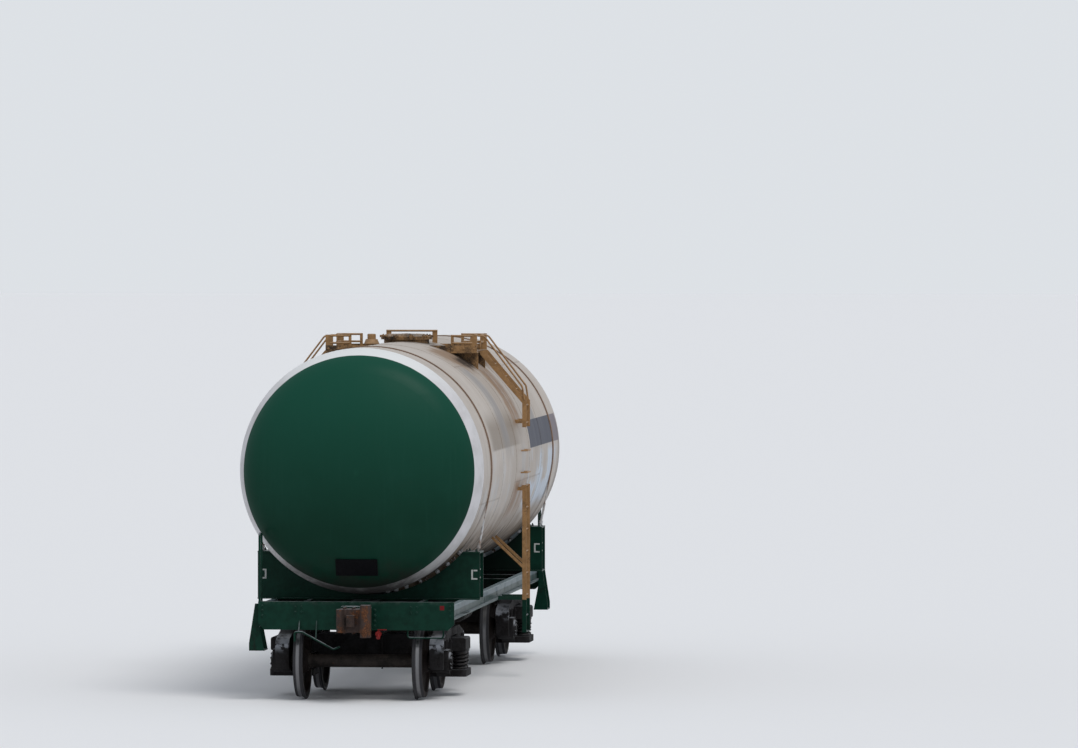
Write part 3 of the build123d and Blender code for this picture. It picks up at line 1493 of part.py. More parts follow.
# Train pipe along the centre sill, with a cock under each headstock
pipe_y = 420
pipe_z = centre_sill_bottom_z - 28
pipe_radius = 21
pipe_bend = 120
pipe_cock_y = 308
pipe_cock_z = headstock_bottom_z - 43
pipe_cock_x = frame_end_x + 60
pipe_crossing_x = (-1000, -2000)
pipe_hanger_plate = 8
cock_radius = 38
cock_length = 76
cock_stub_radius = 27
cock_stub_length = 70
cock_stem_radius = 12
cock_stem_height = 12
cock_handle_width = 26
cock_handle_length = 120
cock_handle_height = 12
pipe_end_run = 200
pipe_bend_run = 500

with BuildPart() as train_pipe:
    with BuildLine():
        FilletPolyline(
            (pipe_cock_x, pipe_cock_y, pipe_cock_z),
            (pipe_cock_x - pipe_end_run, pipe_cock_y, pipe_cock_z),
            (pipe_cock_x - pipe_bend_run, pipe_y, pipe_z),
            (pipe_crossing_x[0], pipe_y, pipe_z),
            (pipe_crossing_x[1], -pipe_y, pipe_z),
            (pipe_bend_run - pipe_cock_x, -pipe_y, pipe_z),
            (pipe_end_run - pipe_cock_x, -pipe_cock_y, pipe_cock_z),
            (-pipe_cock_x, -pipe_cock_y, pipe_cock_z),
            radius=pipe_bend,
        )
    with BuildSketch(Plane(origin=(pipe_cock_x, pipe_cock_y, pipe_cock_z), z_dir=(-1, 0, 0))):
        Circle(pipe_radius)
    sweep()
    with BuildSketch(Plane.XY.offset(pipe_z)):
        for hanger_x, side in ((cross_bearer_x[0], 1), (cross_bearer_x[1], 1), (cross_bearer_x[3], -1)):
            with Locations((hanger_x, side * pipe_y)):
                Rectangle(cross_bearer_width / 2, pipe_hanger_plate)
    extrude(amount=cross_bearer_bottom_z - pipe_z)
    with BuildSketch(Plane.XY.offset(pipe_cock_z)):
        for end in (1, -1):
            with Locations((end * (frame_end_x - headstock_plate / 2), end * pipe_cock_y)):
                Rectangle(headstock_plate, 2 * pipe_radius)
    extrude(amount=headstock_bottom_z - pipe_cock_z)
train_pipe.part.label = "train_pipe"
export_step(train_pipe.part, "parts/train_pipe.step")

# End cocks: a body on the pipe's end with an outlet that slants down and a handle on top
with BuildPart() as end_cocks:
    cock_start_x = pipe_cock_x + fit_gap
    with BuildSketch(Plane.YZ.offset(cock_start_x)):
        with Locations((pipe_cock_y, pipe_cock_z)):
            Circle(cock_radius)
    extrude(amount=cock_length)
    cock_middle = (cock_start_x + cock_length / 2, pipe_cock_y, pipe_cock_z)
    with BuildSketch(Plane(origin=cock_middle, z_dir=(1, 0, -1))):
        Circle(cock_stub_radius)
    extrude(amount=cock_stub_length)
    with BuildSketch(Plane.XY.offset(pipe_cock_z)):
        with Locations((cock_start_x + cock_length / 2, pipe_cock_y)):
            Circle(cock_stem_radius)
    extrude(amount=cock_radius + cock_stem_height)
    with BuildSketch(Plane.XY.offset(pipe_cock_z + cock_radius + cock_stem_height)):
        with Locations((cock_start_x + cock_length / 2, pipe_cock_y - cock_handle_width / 2)):
            Rectangle(cock_handle_width, cock_handle_length, align=(Align.CENTER, Align.MIN))
    extrude(amount=cock_handle_height)
    add(end_cocks.part.rotate(Axis.Z, 180))
end_cocks.part.label = "end_cocks"
export_step(end_cocks.part, "parts/end_cocks.step")

# Brake cylinder, reservoir and distributor on plates from the centre sill's webs
brake_z = centre_sill_bottom_z - 78
cylinder_x = (840, 1260)
cylinder_y = -700
cylinder_radius = 178
reservoir_x = (-1100, -200)
reservoir_y = 650
reservoir_radius = 150
reservoir_dish = 40
distributor_x = (300, 540)
distributor_y = (235, 460)
distributor_height = 180
brake_plate = 12
brake_plate_low_z = pipe_z + pipe_radius + 40
brake_plate_inset = 60
saddle_angle = 45
rod_radius = 11
brake_lever_height = 16

with BuildPart() as brake_cylinder:
    with BuildSketch(Plane.YZ.offset(cylinder_x[0])):
        with Locations((cylinder_y, brake_z)):
            Circle(cylinder_radius)
    extrude(amount=cylinder_x[1] - cylinder_x[0])
    for plate_x in (cylinder_x[0] + brake_plate_inset, cylinder_x[1] - brake_plate_inset):
        with BuildSketch(Plane.YZ.offset(plate_x - brake_plate / 2)):
            with BuildLine():
                saddle_reach = cylinder_radius * cos(radians(saddle_angle))
                Polyline(
                    (-centre_sill_half_width, brake_plate_low_z),
                    (cylinder_y + saddle_reach, brake_z + saddle_reach),
                    (cylinder_y - saddle_reach, brake_z + saddle_reach),
                    (-centre_sill_half_width, frame_top_z - brake_plate_inset),
                    close=True,
                )
            make_face()
        extrude(amount=brake_plate)
brake_cylinder.part.label = "brake_cylinder"
export_step(brake_cylinder.part, "parts/brake_cylinder.step")

with BuildPart() as brake_reservoir:
    with BuildSketch(Plane.YZ.offset(reservoir_x[0])):
        with Locations((reservoir_y, brake_z)):
            Circle(reservoir_radius)
    extrude(amount=reservoir_x[1] - reservoir_x[0])
    fillet(brake_reservoir.edges().filter_by(GeomType.CIRCLE), radius=reservoir_dish)
    for plate_x in (reservoir_x[0] + 4 * reservoir_dish, reservoir_x[1] - 4 * reservoir_dish):
        with BuildSketch(Plane.YZ.offset(plate_x - brake_plate / 2)):
            with BuildLine():
                saddle_reach = reservoir_radius * cos(radians(saddle_angle))
                Polyline(
                    (centre_sill_half_width, brake_plate_low_z),
                    (reservoir_y - saddle_reach, brake_z + saddle_reach),
                    (reservoir_y + saddle_reach, brake_z + saddle_reach),
                    (centre_sill_half_width, frame_top_z - brake_plate_inset),
                    close=True,
                )
            make_face()
        extrude(amount=brake_plate)
brake_reservoir.part.label = "brake_reservoir"
export_step(brake_reservoir.part, "parts/brake_reservoir.step")

with BuildPart() as brake_distributor:
    distributor_z = brake_plate_low_z + distributor_height / 2
    with BuildSketch(Plane.YZ.offset(distributor_x[0])):
        with Locations(((distributor_y[0] + distributor_y[1]) / 2, distributor_z)):
            RectangleRounded(distributor_y[1] - distributor_y[0], distributor_height, reservoir_dish)
    extrude(amount=distributor_x[1] - distributor_x[0])
    with BuildSketch(Plane.XZ.offset(-centre_sill_half_width)):
        with Locations(((distributor_x[0] + distributor_x[1]) / 2, distributor_z)):
            Rectangle((distributor_x[1] - distributor_x[0]) / 2, distributor_height / 2)
    extrude(amount=centre_sill_half_width - distributor_y[0] - reservoir_dish)
    with BuildSketch(Plane.XY.offset(pipe_z + pipe_radius + fit_gap)):
        with Locations(((distributor_x[0] + distributor_x[1]) / 2, pipe_y)):
            Circle(pipe_radius)
    extrude(amount=distributor_height / 2)
brake_distributor.part.label = "brake_distributor"
export_step(brake_distributor.part, "parts/brake_distributor.step")

# Levers before and behind the cylinder, a tie rod between them, and a pull rod to each bogie that
# ends in an open clevis
lever_front_x = cylinder_x[1] + 140
lever_rear_x = cylinder_x[0] - 140
lever_half_width = 45
lever_end_y = 200
pull_rod_gap = 36.5
pull_rod_end_x = bogie_x - brake_beam_x - lever_width / 2 - pull_rod_gap
tie_rod_y = -330
clevis_length = 120
clevis_width = 70
rigging_hanger_width = 40

with BuildPart() as brake_rigging:
    with BuildSketch(Plane.XY.offset(brake_z)):
        for end_x in (lever_front_x, lever_rear_x):
            with BuildLine():
                Polyline(
                    (end_x - lever_half_width, tie_rod_y),
                    (end_x - lever_half_width / 2, lever_end_y),
                    (end_x + lever_half_width / 2, lever_end_y),
                    (end_x + lever_half_width, tie_rod_y),
                    (end_x + lever_half_width / 2, cylinder_y),
                    (end_x - lever_half_width / 2, cylinder_y),
                    close=True,
                )
            make_face()
    extrude(amount=brake_lever_height / 2, both=True)
    for rod_x, rod_y, length in (
        (lever_rear_x, tie_rod_y, lever_front_x - lever_rear_x),
        (cylinder_x[1] + fit_gap, cylinder_y + rod_radius, lever_front_x - cylinder_x[1]),
        (lever_rear_x, cylinder_y + rod_radius, cylinder_x[0] - fit_gap - lever_rear_x),
        (lever_front_x, lever_end_y - rod_radius, pull_rod_end_x - clevis_length - lever_front_x),
    ):
        with BuildSketch(Plane.YZ.offset(rod_x)):
            with Locations((rod_y, brake_z)):
                Circle(rod_radius)
        extrude(amount=length)
    with BuildLine():
        FilletPolyline(
            (lever_rear_x, lever_end_y - rod_radius, brake_z),
            (pipe_crossing_x[0], lever_end_y - rod_radius, brake_z),
            (clevis_length - pull_rod_end_x, rod_radius - lever_end_y, brake_z),
            radius=pipe_bend,
        )
    with BuildSketch(Plane(origin=(lever_rear_x, lever_end_y - rod_radius, brake_z), z_dir=(-1, 0, 0))):
        Circle(rod_radius)
    sweep()
    for end in (1, -1):
        with BuildSketch(Plane.XY.offset(brake_z)):
            with Locations((end * (pull_rod_end_x - clevis_length / 2), end * (lever_end_y - rod_radius))):
                Rectangle(clevis_length, clevis_width)
            with Locations((end * (pull_rod_end_x - clevis_length / 4), end * (lever_end_y - rod_radius))):
                Rectangle(clevis_length / 2, clevis_width / 3, mode=Mode.SUBTRACT)
        extrude(amount=2 * rod_radius, both=True)
    with BuildSketch(Plane.XY.offset(brake_z)):
        rod_middle_x = (pull_rod_end_x + lever_front_x) / 2
        for hanger_x in (rod_middle_x, lever_front_x, lever_rear_x, pipe_crossing_x[0] + clevis_length):
            with Locations((hanger_x, lever_end_y - rod_radius / 2)):
                Rectangle(rigging_hanger_width, pipe_hanger_plate)
    extrude(amount=centre_sill_bottom_z - brake_z)
brake_rigging.part.label = "brake_rigging"
export_step(brake_rigging.part, "parts/brake_rigging.step")
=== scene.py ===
import random
from math import cos, pi, radians, sin

import bmesh
import bpy
from mathutils import Matrix, Vector


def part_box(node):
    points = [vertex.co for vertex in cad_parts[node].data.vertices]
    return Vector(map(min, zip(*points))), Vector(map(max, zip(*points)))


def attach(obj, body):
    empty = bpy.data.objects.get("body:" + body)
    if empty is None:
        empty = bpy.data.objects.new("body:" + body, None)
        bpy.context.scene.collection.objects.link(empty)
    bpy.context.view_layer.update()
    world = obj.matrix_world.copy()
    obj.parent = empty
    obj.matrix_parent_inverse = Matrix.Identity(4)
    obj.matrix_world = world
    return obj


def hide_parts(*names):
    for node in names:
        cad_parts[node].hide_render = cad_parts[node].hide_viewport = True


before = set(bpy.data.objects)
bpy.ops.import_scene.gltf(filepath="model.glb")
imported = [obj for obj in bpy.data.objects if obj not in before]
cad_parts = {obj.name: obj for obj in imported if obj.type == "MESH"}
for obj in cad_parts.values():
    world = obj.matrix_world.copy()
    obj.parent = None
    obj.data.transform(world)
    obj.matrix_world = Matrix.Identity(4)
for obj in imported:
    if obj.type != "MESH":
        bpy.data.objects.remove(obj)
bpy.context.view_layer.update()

# WHEELSETS
# Four axles of forged steel, each with two rolled wheels pressed on. The treads are worn bright by
# the rails; flanges, webs and axles carry brown rust and black brake dust.

wheel_radius = 0.4785
axle_height = 0.5065
tread_middle_y = 0.79
bogie_centre = 3.9
half_wheelbase = 0.925


class Value:
    # What a shader works out at each spot. Sums with it become Math nodes in its node tree.
    def __init__(self, socket):
        self.socket = socket
        self.tree = socket.id_data

    def __add__(self, other):
        return reckon("ADD", self, other)

    def __sub__(self, other):
        return reckon("SUBTRACT", self, other)

    def __rsub__(self, other):
        return reckon("SUBTRACT", other, self)

    def __mul__(self, other):
        return reckon("MULTIPLY", self, other)

    def __abs__(self):
        return reckon("ABSOLUTE", self)


def add_node(tree, kind, inputs=None, **settings):
    # A node; its inputs take Values, numbers, directions or colours.
    made = tree.nodes.new(kind)
    for name, value in settings.items():
        setattr(made, name, value)
    for name, value in (inputs or {}).items():
        if isinstance(value, Value):
            tree.links.new(value.socket, made.inputs[name])
        elif made.inputs[name].type == "RGBA":
            made.inputs[name].default_value = (*value, 1)
        else:
            made.inputs[name].default_value = value
    return made


def reckon(operation, first, second=0.0, clamp=False):
    tree = first.tree if isinstance(first, Value) else second.tree
    made = add_node(tree, "ShaderNodeMath", {0: first, 1: second}, operation=operation, use_clamp=clamp)
    return Value(made.outputs[0])


def distance(across, along):
    return reckon("SQRT", across * across + along * along)


def between(value, low, high, to_low=0.0, to_high=1.0):
    # Goes smoothly from one result to the other while the value goes from low to high.
    steps = {"Value": value, "From Min": low, "From Max": high, "To Min": to_low, "To Max": to_high}
    made = add_node(value.tree, "ShaderNodeMapRange", steps, interpolation_type="SMOOTHSTEP")
    return Value(made.outputs[0])


def mixed(share, under, over):
    # The colour under, and this share of the colour over it
    made = add_node(share.tree, "ShaderNodeMix", {0: share, 6: under, 7: over}, data_type="RGBA")
    return Value(made.outputs[2])


def split(vector):
    return [Value(socket) for socket in add_node(vector.tree, "ShaderNodeSeparateXYZ", {0: vector}).outputs]


def noise(vector, scale, detail=5.0, roughness=0.6):
    sizes = {"Vector": vector, "Scale": scale, "Detail": detail, "Roughness": roughness}
    return Value(add_node(vector.tree, "ShaderNodeTexNoise", sizes).outputs["Fac"])


def stretched(vector, by):
    made = add_node(vector.tree, "ShaderNodeVectorMath", {0: vector, 1: by}, operation="MULTIPLY")
    return Value(made.outputs[0])


def place_on(tree):
    return Value(add_node(tree, "ShaderNodeTexCoord").outputs["Object"])


def new_finish(name, roughness=0.6, gleam=0.2):
    finish = bpy.data.materials.new(name)
    finish.use_nodes = True
    shader = finish.node_tree.nodes["Principled BSDF"]
    shader.inputs["Roughness"].default_value = roughness
    shader.inputs["Specular IOR Level"].default_value = gleam
    return finish, finish.node_tree


def give(finish, colour, roughness, height, depth, metal=None):
    # Links what varies over the surface to the finish's shader; the bumps' depth is in metres.
    tree = finish.node_tree
    bump = add_node(tree, "ShaderNodeBump", {"Strength": 1.0, "Distance": depth, "Height": height})
    normal = Value(bump.outputs[0])
    results = {"Base Color": colour, "Roughness": roughness, "Metallic": metal, "Normal": normal}
    for name, value in results.items():
        if value:
            tree.links.new(value.socket, tree.nodes["Principled BSDF"].inputs[name])


def new_effect(name, takes, gives):
    # A node group from its sockets' names and kinds, and the values that it takes
    effect = bpy.data.node_groups.new(name, "ShaderNodeTree")
    for way, kinds in (("INPUT", takes), ("OUTPUT", gives)):
        for socket_name, kind in kinds.items():
            effect.interface.new_socket(name=socket_name, in_out=way, socket_type="NodeSocket" + kind)
    inputs = effect.nodes.new("NodeGroupInput").outputs
    return effect, {name: Value(inputs[name]) for name in takes}


def put_out(effect, results):
    given = effect.nodes.new("NodeGroupOutput").inputs
    for name, value in results.items():
        effect.links.new(value.socket, given[name])


def use(tree, effect, **inputs):
    # Places an effect in a finish and returns its outputs in their order.
    return [Value(socket) for socket in add_node(tree, "ShaderNodeGroup", inputs, node_tree=effect).outputs]


# Grime lies over a finish in patches of two sizes, rougher than what it covers.
grime, taken = new_effect(
    "grime",
    {"Colour": "Color", "Grime": "Color", "Amount": "Float", "Scale": "Float", "Clean": "Float",
     "Dirty": "Float"},
    {"Colour": "Color", "Roughness": "Float"},
)
spot = place_on(grime)
broad = noise(spot, taken["Scale"], 7.0, 0.62)
fine = noise(spot, taken["Scale"] * 11.0, 4.0, 0.6)
edge = 0.72 - taken["Amount"] * 0.5
mask = between(broad * 0.7 + fine * 0.3, edge, edge + 0.2)
shade = between(noise(spot, taken["Scale"] * 3.3), 0.3, 0.7, 0.8, 1.15)
shaded = add_node(grime, "ShaderNodeVectorMath", {0: taken["Colour"], "Scale": shade}, operation="SCALE")
put_out(grime, {
    "Colour": mixed(mask, Value(shaded.outputs[0]), taken["Grime"]),
    "Roughness": (taken["Dirty"] - taken["Clean"]) * mask + taken["Clean"],
})

# The rust of bare or chipped steel is dark brown with orange grains.
rust, taken = new_effect(
    "rust",
    {"Colour": "Color", "Amount": "Float", "Scale": "Float"},
    {"Colour": "Color", "Height": "Float"},
)
spot = place_on(rust)
grains = noise(spot, taken["Scale"] * 14.0, 3.0, 0.7)
edge = 0.75 - taken["Amount"] * 0.55
mask = between(noise(spot, taken["Scale"], 8.0, 0.7), edge, edge + 0.1)
brown = mixed(between(grains, 0.42, 0.66), (0.045, 0.018, 0.009), (0.17, 0.062, 0.02))
put_out(rust, {"Colour": mixed(mask, taken["Colour"], brown), "Height": grains * mask})

wheel_steel, tree = new_finish("wheel_steel", gleam=0.12)
spot = place_on(tree)
along, sideways, height_z = split(spot)
from_axle = abs(abs(along) - bogie_centre) - half_wheelbase
ragged = noise(spot, 30.0) * 0.006
from_centre = distance(from_axle, height_z - axle_height) + ragged
on_rim = between(from_centre, wheel_radius - 0.012, wheel_radius - 0.004)
on_band = on_rim * between(abs(abs(sideways) - tread_middle_y) + ragged, 0.034, 0.016)
turned = noise(stretched(spot, (1.0, 90.0, 1.0)), 3.0, 3.0)
dirty, gloss = use(tree, grime, Colour=(0.014, 0.010, 0.009), Grime=(0.006, 0.006, 0.006),
                   Amount=0.5, Scale=6.0, Clean=0.75, Dirty=0.92)
rusty, grains = use(tree, rust, Colour=dirty, Amount=0.18, Scale=9.0)
rolled = mixed(on_rim, rusty, (0.030, 0.030, 0.033))
bright = mixed(turned, (0.10, 0.10, 0.105), (0.26, 0.26, 0.27))
gloss = gloss + (on_rim * -0.2 + on_band * -0.25)
give(wheel_steel, mixed(on_band, rolled, bright), gloss, grains, 0.0015, on_band * 0.85)

axle_steel, tree = new_finish("axle_steel")
dirty, gloss = use(tree, grime, Colour=(0.024, 0.018, 0.015), Grime=(0.009, 0.008, 0.007),
                   Amount=0.6, Scale=5.0, Clean=0.6, Dirty=0.9)
rusty, grains = use(tree, rust, Colour=dirty, Amount=0.22, Scale=12.0)
give(axle_steel, rusty, gloss, grains, 0.001)


def finish_nodes(names, finish):
    for name in names:
        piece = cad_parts[name]
        piece.data.materials.clear()
        piece.data.materials.append(finish)


for number in (1, 2, 3, 4):
    finish_nodes([f"wheelset_{number}_wheels"], wheel_steel)
    finish_nodes([f"wheelset_{number}_axle"], axle_steel)

# BOGIES
# Each bogie has two cast side frames, a cast bolster on two groups of seven springs, axle boxes
# with bolted covers, and beams that press brake shoes on the wheels. All of it is under black
# brake dust and oil, with frost on the ends of the frames.

frost = (0.40, 0.42, 0.46)


def facing(tree):
    # The shares of X, Y and Z in the direction that the surface faces
    return split(Value(add_node(tree, "ShaderNodeNewGeometry").outputs["Normal"]))


# Pale dust and frost settle on what faces up.
settled, taken = new_effect(
    "settled_frost",
    {"Colour": "Color", "Frost": "Color", "Amount": "Float", "Scale": "Float"},
    {"Colour": "Color"},
)
drift = noise(place_on(settled), taken["Scale"], 6.0, 0.65)
lies = between(facing(settled)[2], 0.15, 0.9) * between(drift, 0.3, 0.6)
mask = reckon("MULTIPLY", lies, taken["Amount"], clamp=True)
put_out(settled, {"Colour": mixed(mask, taken["Colour"], taken["Frost"])})


def frosted(tree, colour, amount, scale, tone=frost):
    return use(tree, settled, Colour=colour, Frost=tone, Amount=amount, Scale=scale)[0]


bogie_casting, tree = new_finish("bogie_casting", gleam=0.1)
spot = place_on(tree)
along, _, height_z = split(spot)
dirty, gloss = use(tree, grime, Colour=(0.017, 0.016, 0.017), Grime=(0.008, 0.007, 0.007),
                   Amount=0.55, Scale=4.0, Clean=0.7, Dirty=0.9)
rusty = use(tree, rust, Colour=dirty, Amount=0.14, Scale=5.0)[0]
from_middle = abs(abs(along) - bogie_centre)
white = frosted(tree, rusty, between(from_middle, 0.80, 1.05, 0.12, 0.95), 6.0)
clinging = between(noise(spot, 11.0, 5.0, 0.6), 0.44, 0.56) * between(height_z, 0.60, 0.74)
clinging = clinging * between(from_middle, 1.085, 1.150, 0.0, 0.85)
cast_skin = noise(spot, 120.0, 3.0, 0.7) * 0.35 + noise(spot, 14.0, 3.0, 0.5)
give(bogie_casting, mixed(clinging, white, (0.34, 0.36, 0.40)), gloss, cast_skin, 0.004)

spring_steel, tree = new_finish("spring_steel")
dirty, gloss = use(tree, grime, Colour=(0.016, 0.015, 0.016), Grime=(0.032, 0.023, 0.018),
                   Amount=0.45, Scale=9.0, Clean=0.5, Dirty=0.9)
give(spring_steel, dirty, gloss, noise(place_on(tree), 160.0, 3.0), 0.001)


def new_piece(name, shape, body, finish, smooth=35):
    # Turns a bmesh into a piece that rides on a body and takes its finish from a slot.
    mesh = bpy.data.meshes.new(name)
    shape.normal_update()
    shape.to_mesh(mesh)
    shape.free()
    piece = bpy.data.objects.new(name, mesh)
    bpy.context.collection.objects.link(piece)
    mesh.materials.append(finish)
    mesh.polygons.foreach_set("use_smooth", [True] * len(mesh.polygons))
    mesh.set_sharp_from_angle(angle=radians(smooth))
    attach(piece, body)
    return piece


def bridge(shape, low, high, ring=True):
    # Faces between two rows of points, closed all round where they are rings
    for point in range(len(low) if ring else len(low) - 1):
        after = (point + 1) % len(low)
        shape.faces.new((low[point], low[after], high[after], high[point]))


# Seven springs stand on each seat, an outer coil with an inner one wound the other way.
spring_low, spring_high = 0.356, 0.601
spring_pitch = 0.203
spring_places = [Vector()] + [
    Vector((spring_pitch * cos(radians(angle)), spring_pitch * sin(radians(angle)), 0))
    for angle in range(0, 360, 60)
]
# Coil radius, wire radius, turns, left-handed
coils_of_a_spring = ((0.083, 0.0155, 4.5, False), (0.047, 0.0095, 6.5, True))


def add_coil(shape, middle, coil_radius, wire_radius, turns, left):
    # The end turns lie closed and are ground flat on the seats.
    per_turn, sides = 20, 8
    rings = []
    for step in range(int(per_turn * (turns + 2)) + 1):
        turn = step / per_turn
        climbed = min(max(turn - 1, 0), turns) / turns
        height = spring_low + wire_radius * 0.9 + climbed * (spring_high - spring_low - wire_radius * 1.8)
        angle = 2 * pi * turn * (-1 if left else 1)
        out = Vector((cos(angle), sin(angle), 0))
        ring = []
        for side in range(sides):
            around = 2 * pi * side / sides
            point = out * (coil_radius + wire_radius * cos(around))
            point.z = height + wire_radius * sin(around)
            point.z = min(max(point.z, spring_low), spring_high)
            ring.append(shape.verts.new(point + middle))
        rings.append(ring)
    for low, high in zip(rings, rings[1:]):
        bridge(shape, low, high)
    shape.faces.new(rings[0])
    shape.faces.new(reversed(rings[-1]))


journal_y = 1.018
bogies = (("bogie_front", bogie_centre), ("bogie_rear", -bogie_centre))
for bogie, middle_x in bogies:
    coils = bmesh.new()
    for side in (1, -1):
        for place in spring_places:
            for coil in coils_of_a_spring:
                add_coil(coils, Vector((middle_x, side * journal_y, 0)) + place, *coil)
    piece = new_piece(f"{bogie}_coil_springs", coils, bogie, spring_steel)
    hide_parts(f"{bogie}_springs")


def turned_to(place, direction):
    # A matrix at the place whose Z looks along the direction
    aim = Vector(direction).to_track_quat("Z", "Y").to_matrix().to_4x4()
    return Matrix.Translation(place) @ aim


def add_lathed(shape, at, rows, sides, closed=False):
    # A turned form from rows of its radius and its height along the matrix's Z
    rings = []
    for radius, height in rows:
        turns = [2 * pi * side / sides for side in range(sides)] if radius else [0]
        places = [at @ Vector((radius * cos(turn), radius * sin(turn), height)) for turn in turns]
        rings.append([shape.verts.new(place) for place in places])
    for low, high in zip(rings, rings[1:] + (rings[:1] if closed else [])):
        if len(low) == len(high):
            bridge(shape, low, high)
            continue
        for side in range(sides):
            after = (side + 1) % sides
            if len(low) == 1:
                shape.faces.new((low[0], high[after], high[side]))
            else:
                shape.faces.new((low[side], low[after], high[0]))


def add_bolt(shape, place, direction, across_flats, stud=0.0):
    # A washer, a hexagon head with a chamfered top and, where asked, the end of its stud
    at = turned_to(place, direction)
    half = across_flats / 2
    washer = ((half * 1.5, -0.002), (half * 1.5, 0.003), (half * 1.35, 0.004), (0, 0.004))
    head = ((half * 1.15, 0.003), (half * 1.15, half * 0.95), (half * 0.98, half * 1.1), (0, half * 1.1))
    add_lathed(shape, at, washer, 16)
    add_lathed(shape, at, head, 6)
    if stud:
        top = half + stud
        stud_end = ((half * 0.6, half), (half * 0.6, half + stud * 0.8), (half * 0.45, top), (0, top))
        add_lathed(shape, at, stud_end, 10)


def add_bolt_circle(shape, at, radius, count, across_flats, stud=0.0, start=0.0):
    # Bolts around the matrix's Z, looking along it
    for turn in range(count):
        angle = 2 * pi * turn / count + radians(start)
        place = at @ Vector((radius * cos(angle), radius * sin(angle), 0))
        add_bolt(shape, place, at.to_3x3() @ Vector((0, 0, 1)), across_flats, stud)


def add_block(shape, low, high, chamfer, at=Matrix()):
    # A rectangular block with its edges chamfered
    middle = (Vector(low) + Vector(high)) / 2
    size = Vector(high) - Vector(low)
    form = at @ Matrix.Translation(middle) @ Matrix.Diagonal((*size, 1))
    made = bmesh.ops.create_cube(shape, size=1, matrix=form)
    edges = list({edge for vert in made["verts"] for edge in vert.link_edges})
    bmesh.ops.bevel(shape, geom=edges, offset=chamfer, segments=2, affect="EDGES", profile=0.5)


def round_edges(names, width):
    # Cast and pressed edges are a little round.
    for name in names:
        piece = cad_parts[name]
        joined = piece.modifiers.new("joined", "WELD")
        joined.merge_threshold = 0.00002
        plain = piece.modifiers.new("plain", "DECIMATE")
        plain.decimate_type = "DISSOLVE"
        plain.angle_limit = radians(0.5)
        edge = piece.modifiers.new("edge", "BEVEL")
        edge.width = width
        edge.segments = 2
        edge.limit_method = "ANGLE"
        edge.angle_limit = radians(35)


box_cover_y = 1.185
cover_bolt_radius = 0.098
cover_disc = ((0.066, -0.002), (0.066, 0.006), (0.06, 0.010), (0.024, 0.010), (0.018, 0.013), (0, 0.013))
rib_x, rib_half, rib_low, rib_high = 0.09, 0.012, 0.676, 0.782
wear_plate_x, wear_plate_half, wear_plate_low, wear_plate_high = 0.349, 0.028, 0.44, 0.76
jaw_face_y, column_face_y = 1.105, 1.108
ends_and_sides = [(end, side) for end in (1, -1) for side in (1, -1)]
for bogie, middle_x in bogies:
    fittings = bmesh.new()
    for end, side in ends_and_sides:
        box_x = middle_x + end * half_wheelbase
        cover = turned_to((box_x, side * box_cover_y, axle_height), (0, side, 0))
        add_bolt_circle(fittings, cover, cover_bolt_radius, 8, 0.024, start=22.5)
        add_lathed(fittings, cover, cover_disc, 32)
        # Ribs run from the jaw over the box's roof to the frame's top.
        for rib in (box_x - rib_x, box_x + rib_x):
            low = (rib - rib_half, side * jaw_face_y - 0.012, rib_low)
            high = (rib + rib_half, side * jaw_face_y + 0.025, rib_high)
            add_block(fittings, low, high, 0.006)
        # A wear plate is bolted on each column beside the springs.
        plate_x = middle_x + end * wear_plate_x
        low = (plate_x - wear_plate_half, side * column_face_y - 0.004, wear_plate_low)
        high = (plate_x + wear_plate_half, side * column_face_y + 0.010, wear_plate_high)
        add_block(fittings, low, high, 0.004)
        for bolt_z in (0.475, 0.6, 0.725):
            add_bolt(fittings, (plate_x, side * (column_face_y + 0.010), bolt_z), (0, side, 0), 0.026)
    new_piece(f"{bogie}_bolts_and_ribs", fittings, bogie, bogie_casting)
    rounded = [f"{bogie}_{piece}" for piece in ("side_frames", "bolster", "axle_boxes")]
    finish_nodes(rounded + [f"{bogie}_springs", f"{bogie}_brake_beams"], bogie_casting)
    round_edges(rounded, 0.007)

# BRAKE GEAR AND OUTLET
# A cast cylinder, a welded air reservoir and the distributor hang under the frame, on a pipe with
# screwed unions; rods and levers run to the bogies. The outlet below the tank has a bolted flange.
# These, the draft gears and the bearers are of black steel, and the pipe's end cocks are red.

black_steel, tree = new_finish("black_steel", gleam=0.1)
dirty, gloss = use(tree, grime, Colour=(0.012, 0.012, 0.012), Grime=(0.022, 0.018, 0.015),
                   Amount=0.5, Scale=5.0, Clean=0.55, Dirty=0.9)
give(black_steel, frosted(tree, dirty, 0.35, 8.0), gloss, noise(place_on(tree), 90.0, 3.0), 0.001)
finish_nodes(["draft_gears", "centre_plates", "upper_side_bearers", "centring_beams"], black_steel)
finish_nodes(["train_pipe", "brake_cylinder", "brake_reservoir", "brake_distributor"], black_steel)
finish_nodes(["brake_rigging", "bottom_outlet"], black_steel)

gear_z = 0.890
cylinder_start, cylinder_end, cylinder_y, cylinder_radius = 0.840, 1.260, -0.700, 0.178
reservoir_start, reservoir_end, reservoir_y, reservoir_radius = -1.100, -0.200, 0.650, 0.150
gear = bmesh.new()


def on_skin(radius, rows):
    # Rows for a turned form, from how far each stands out of a round part's skin
    return [(radius + out, height) for out, height in rows]


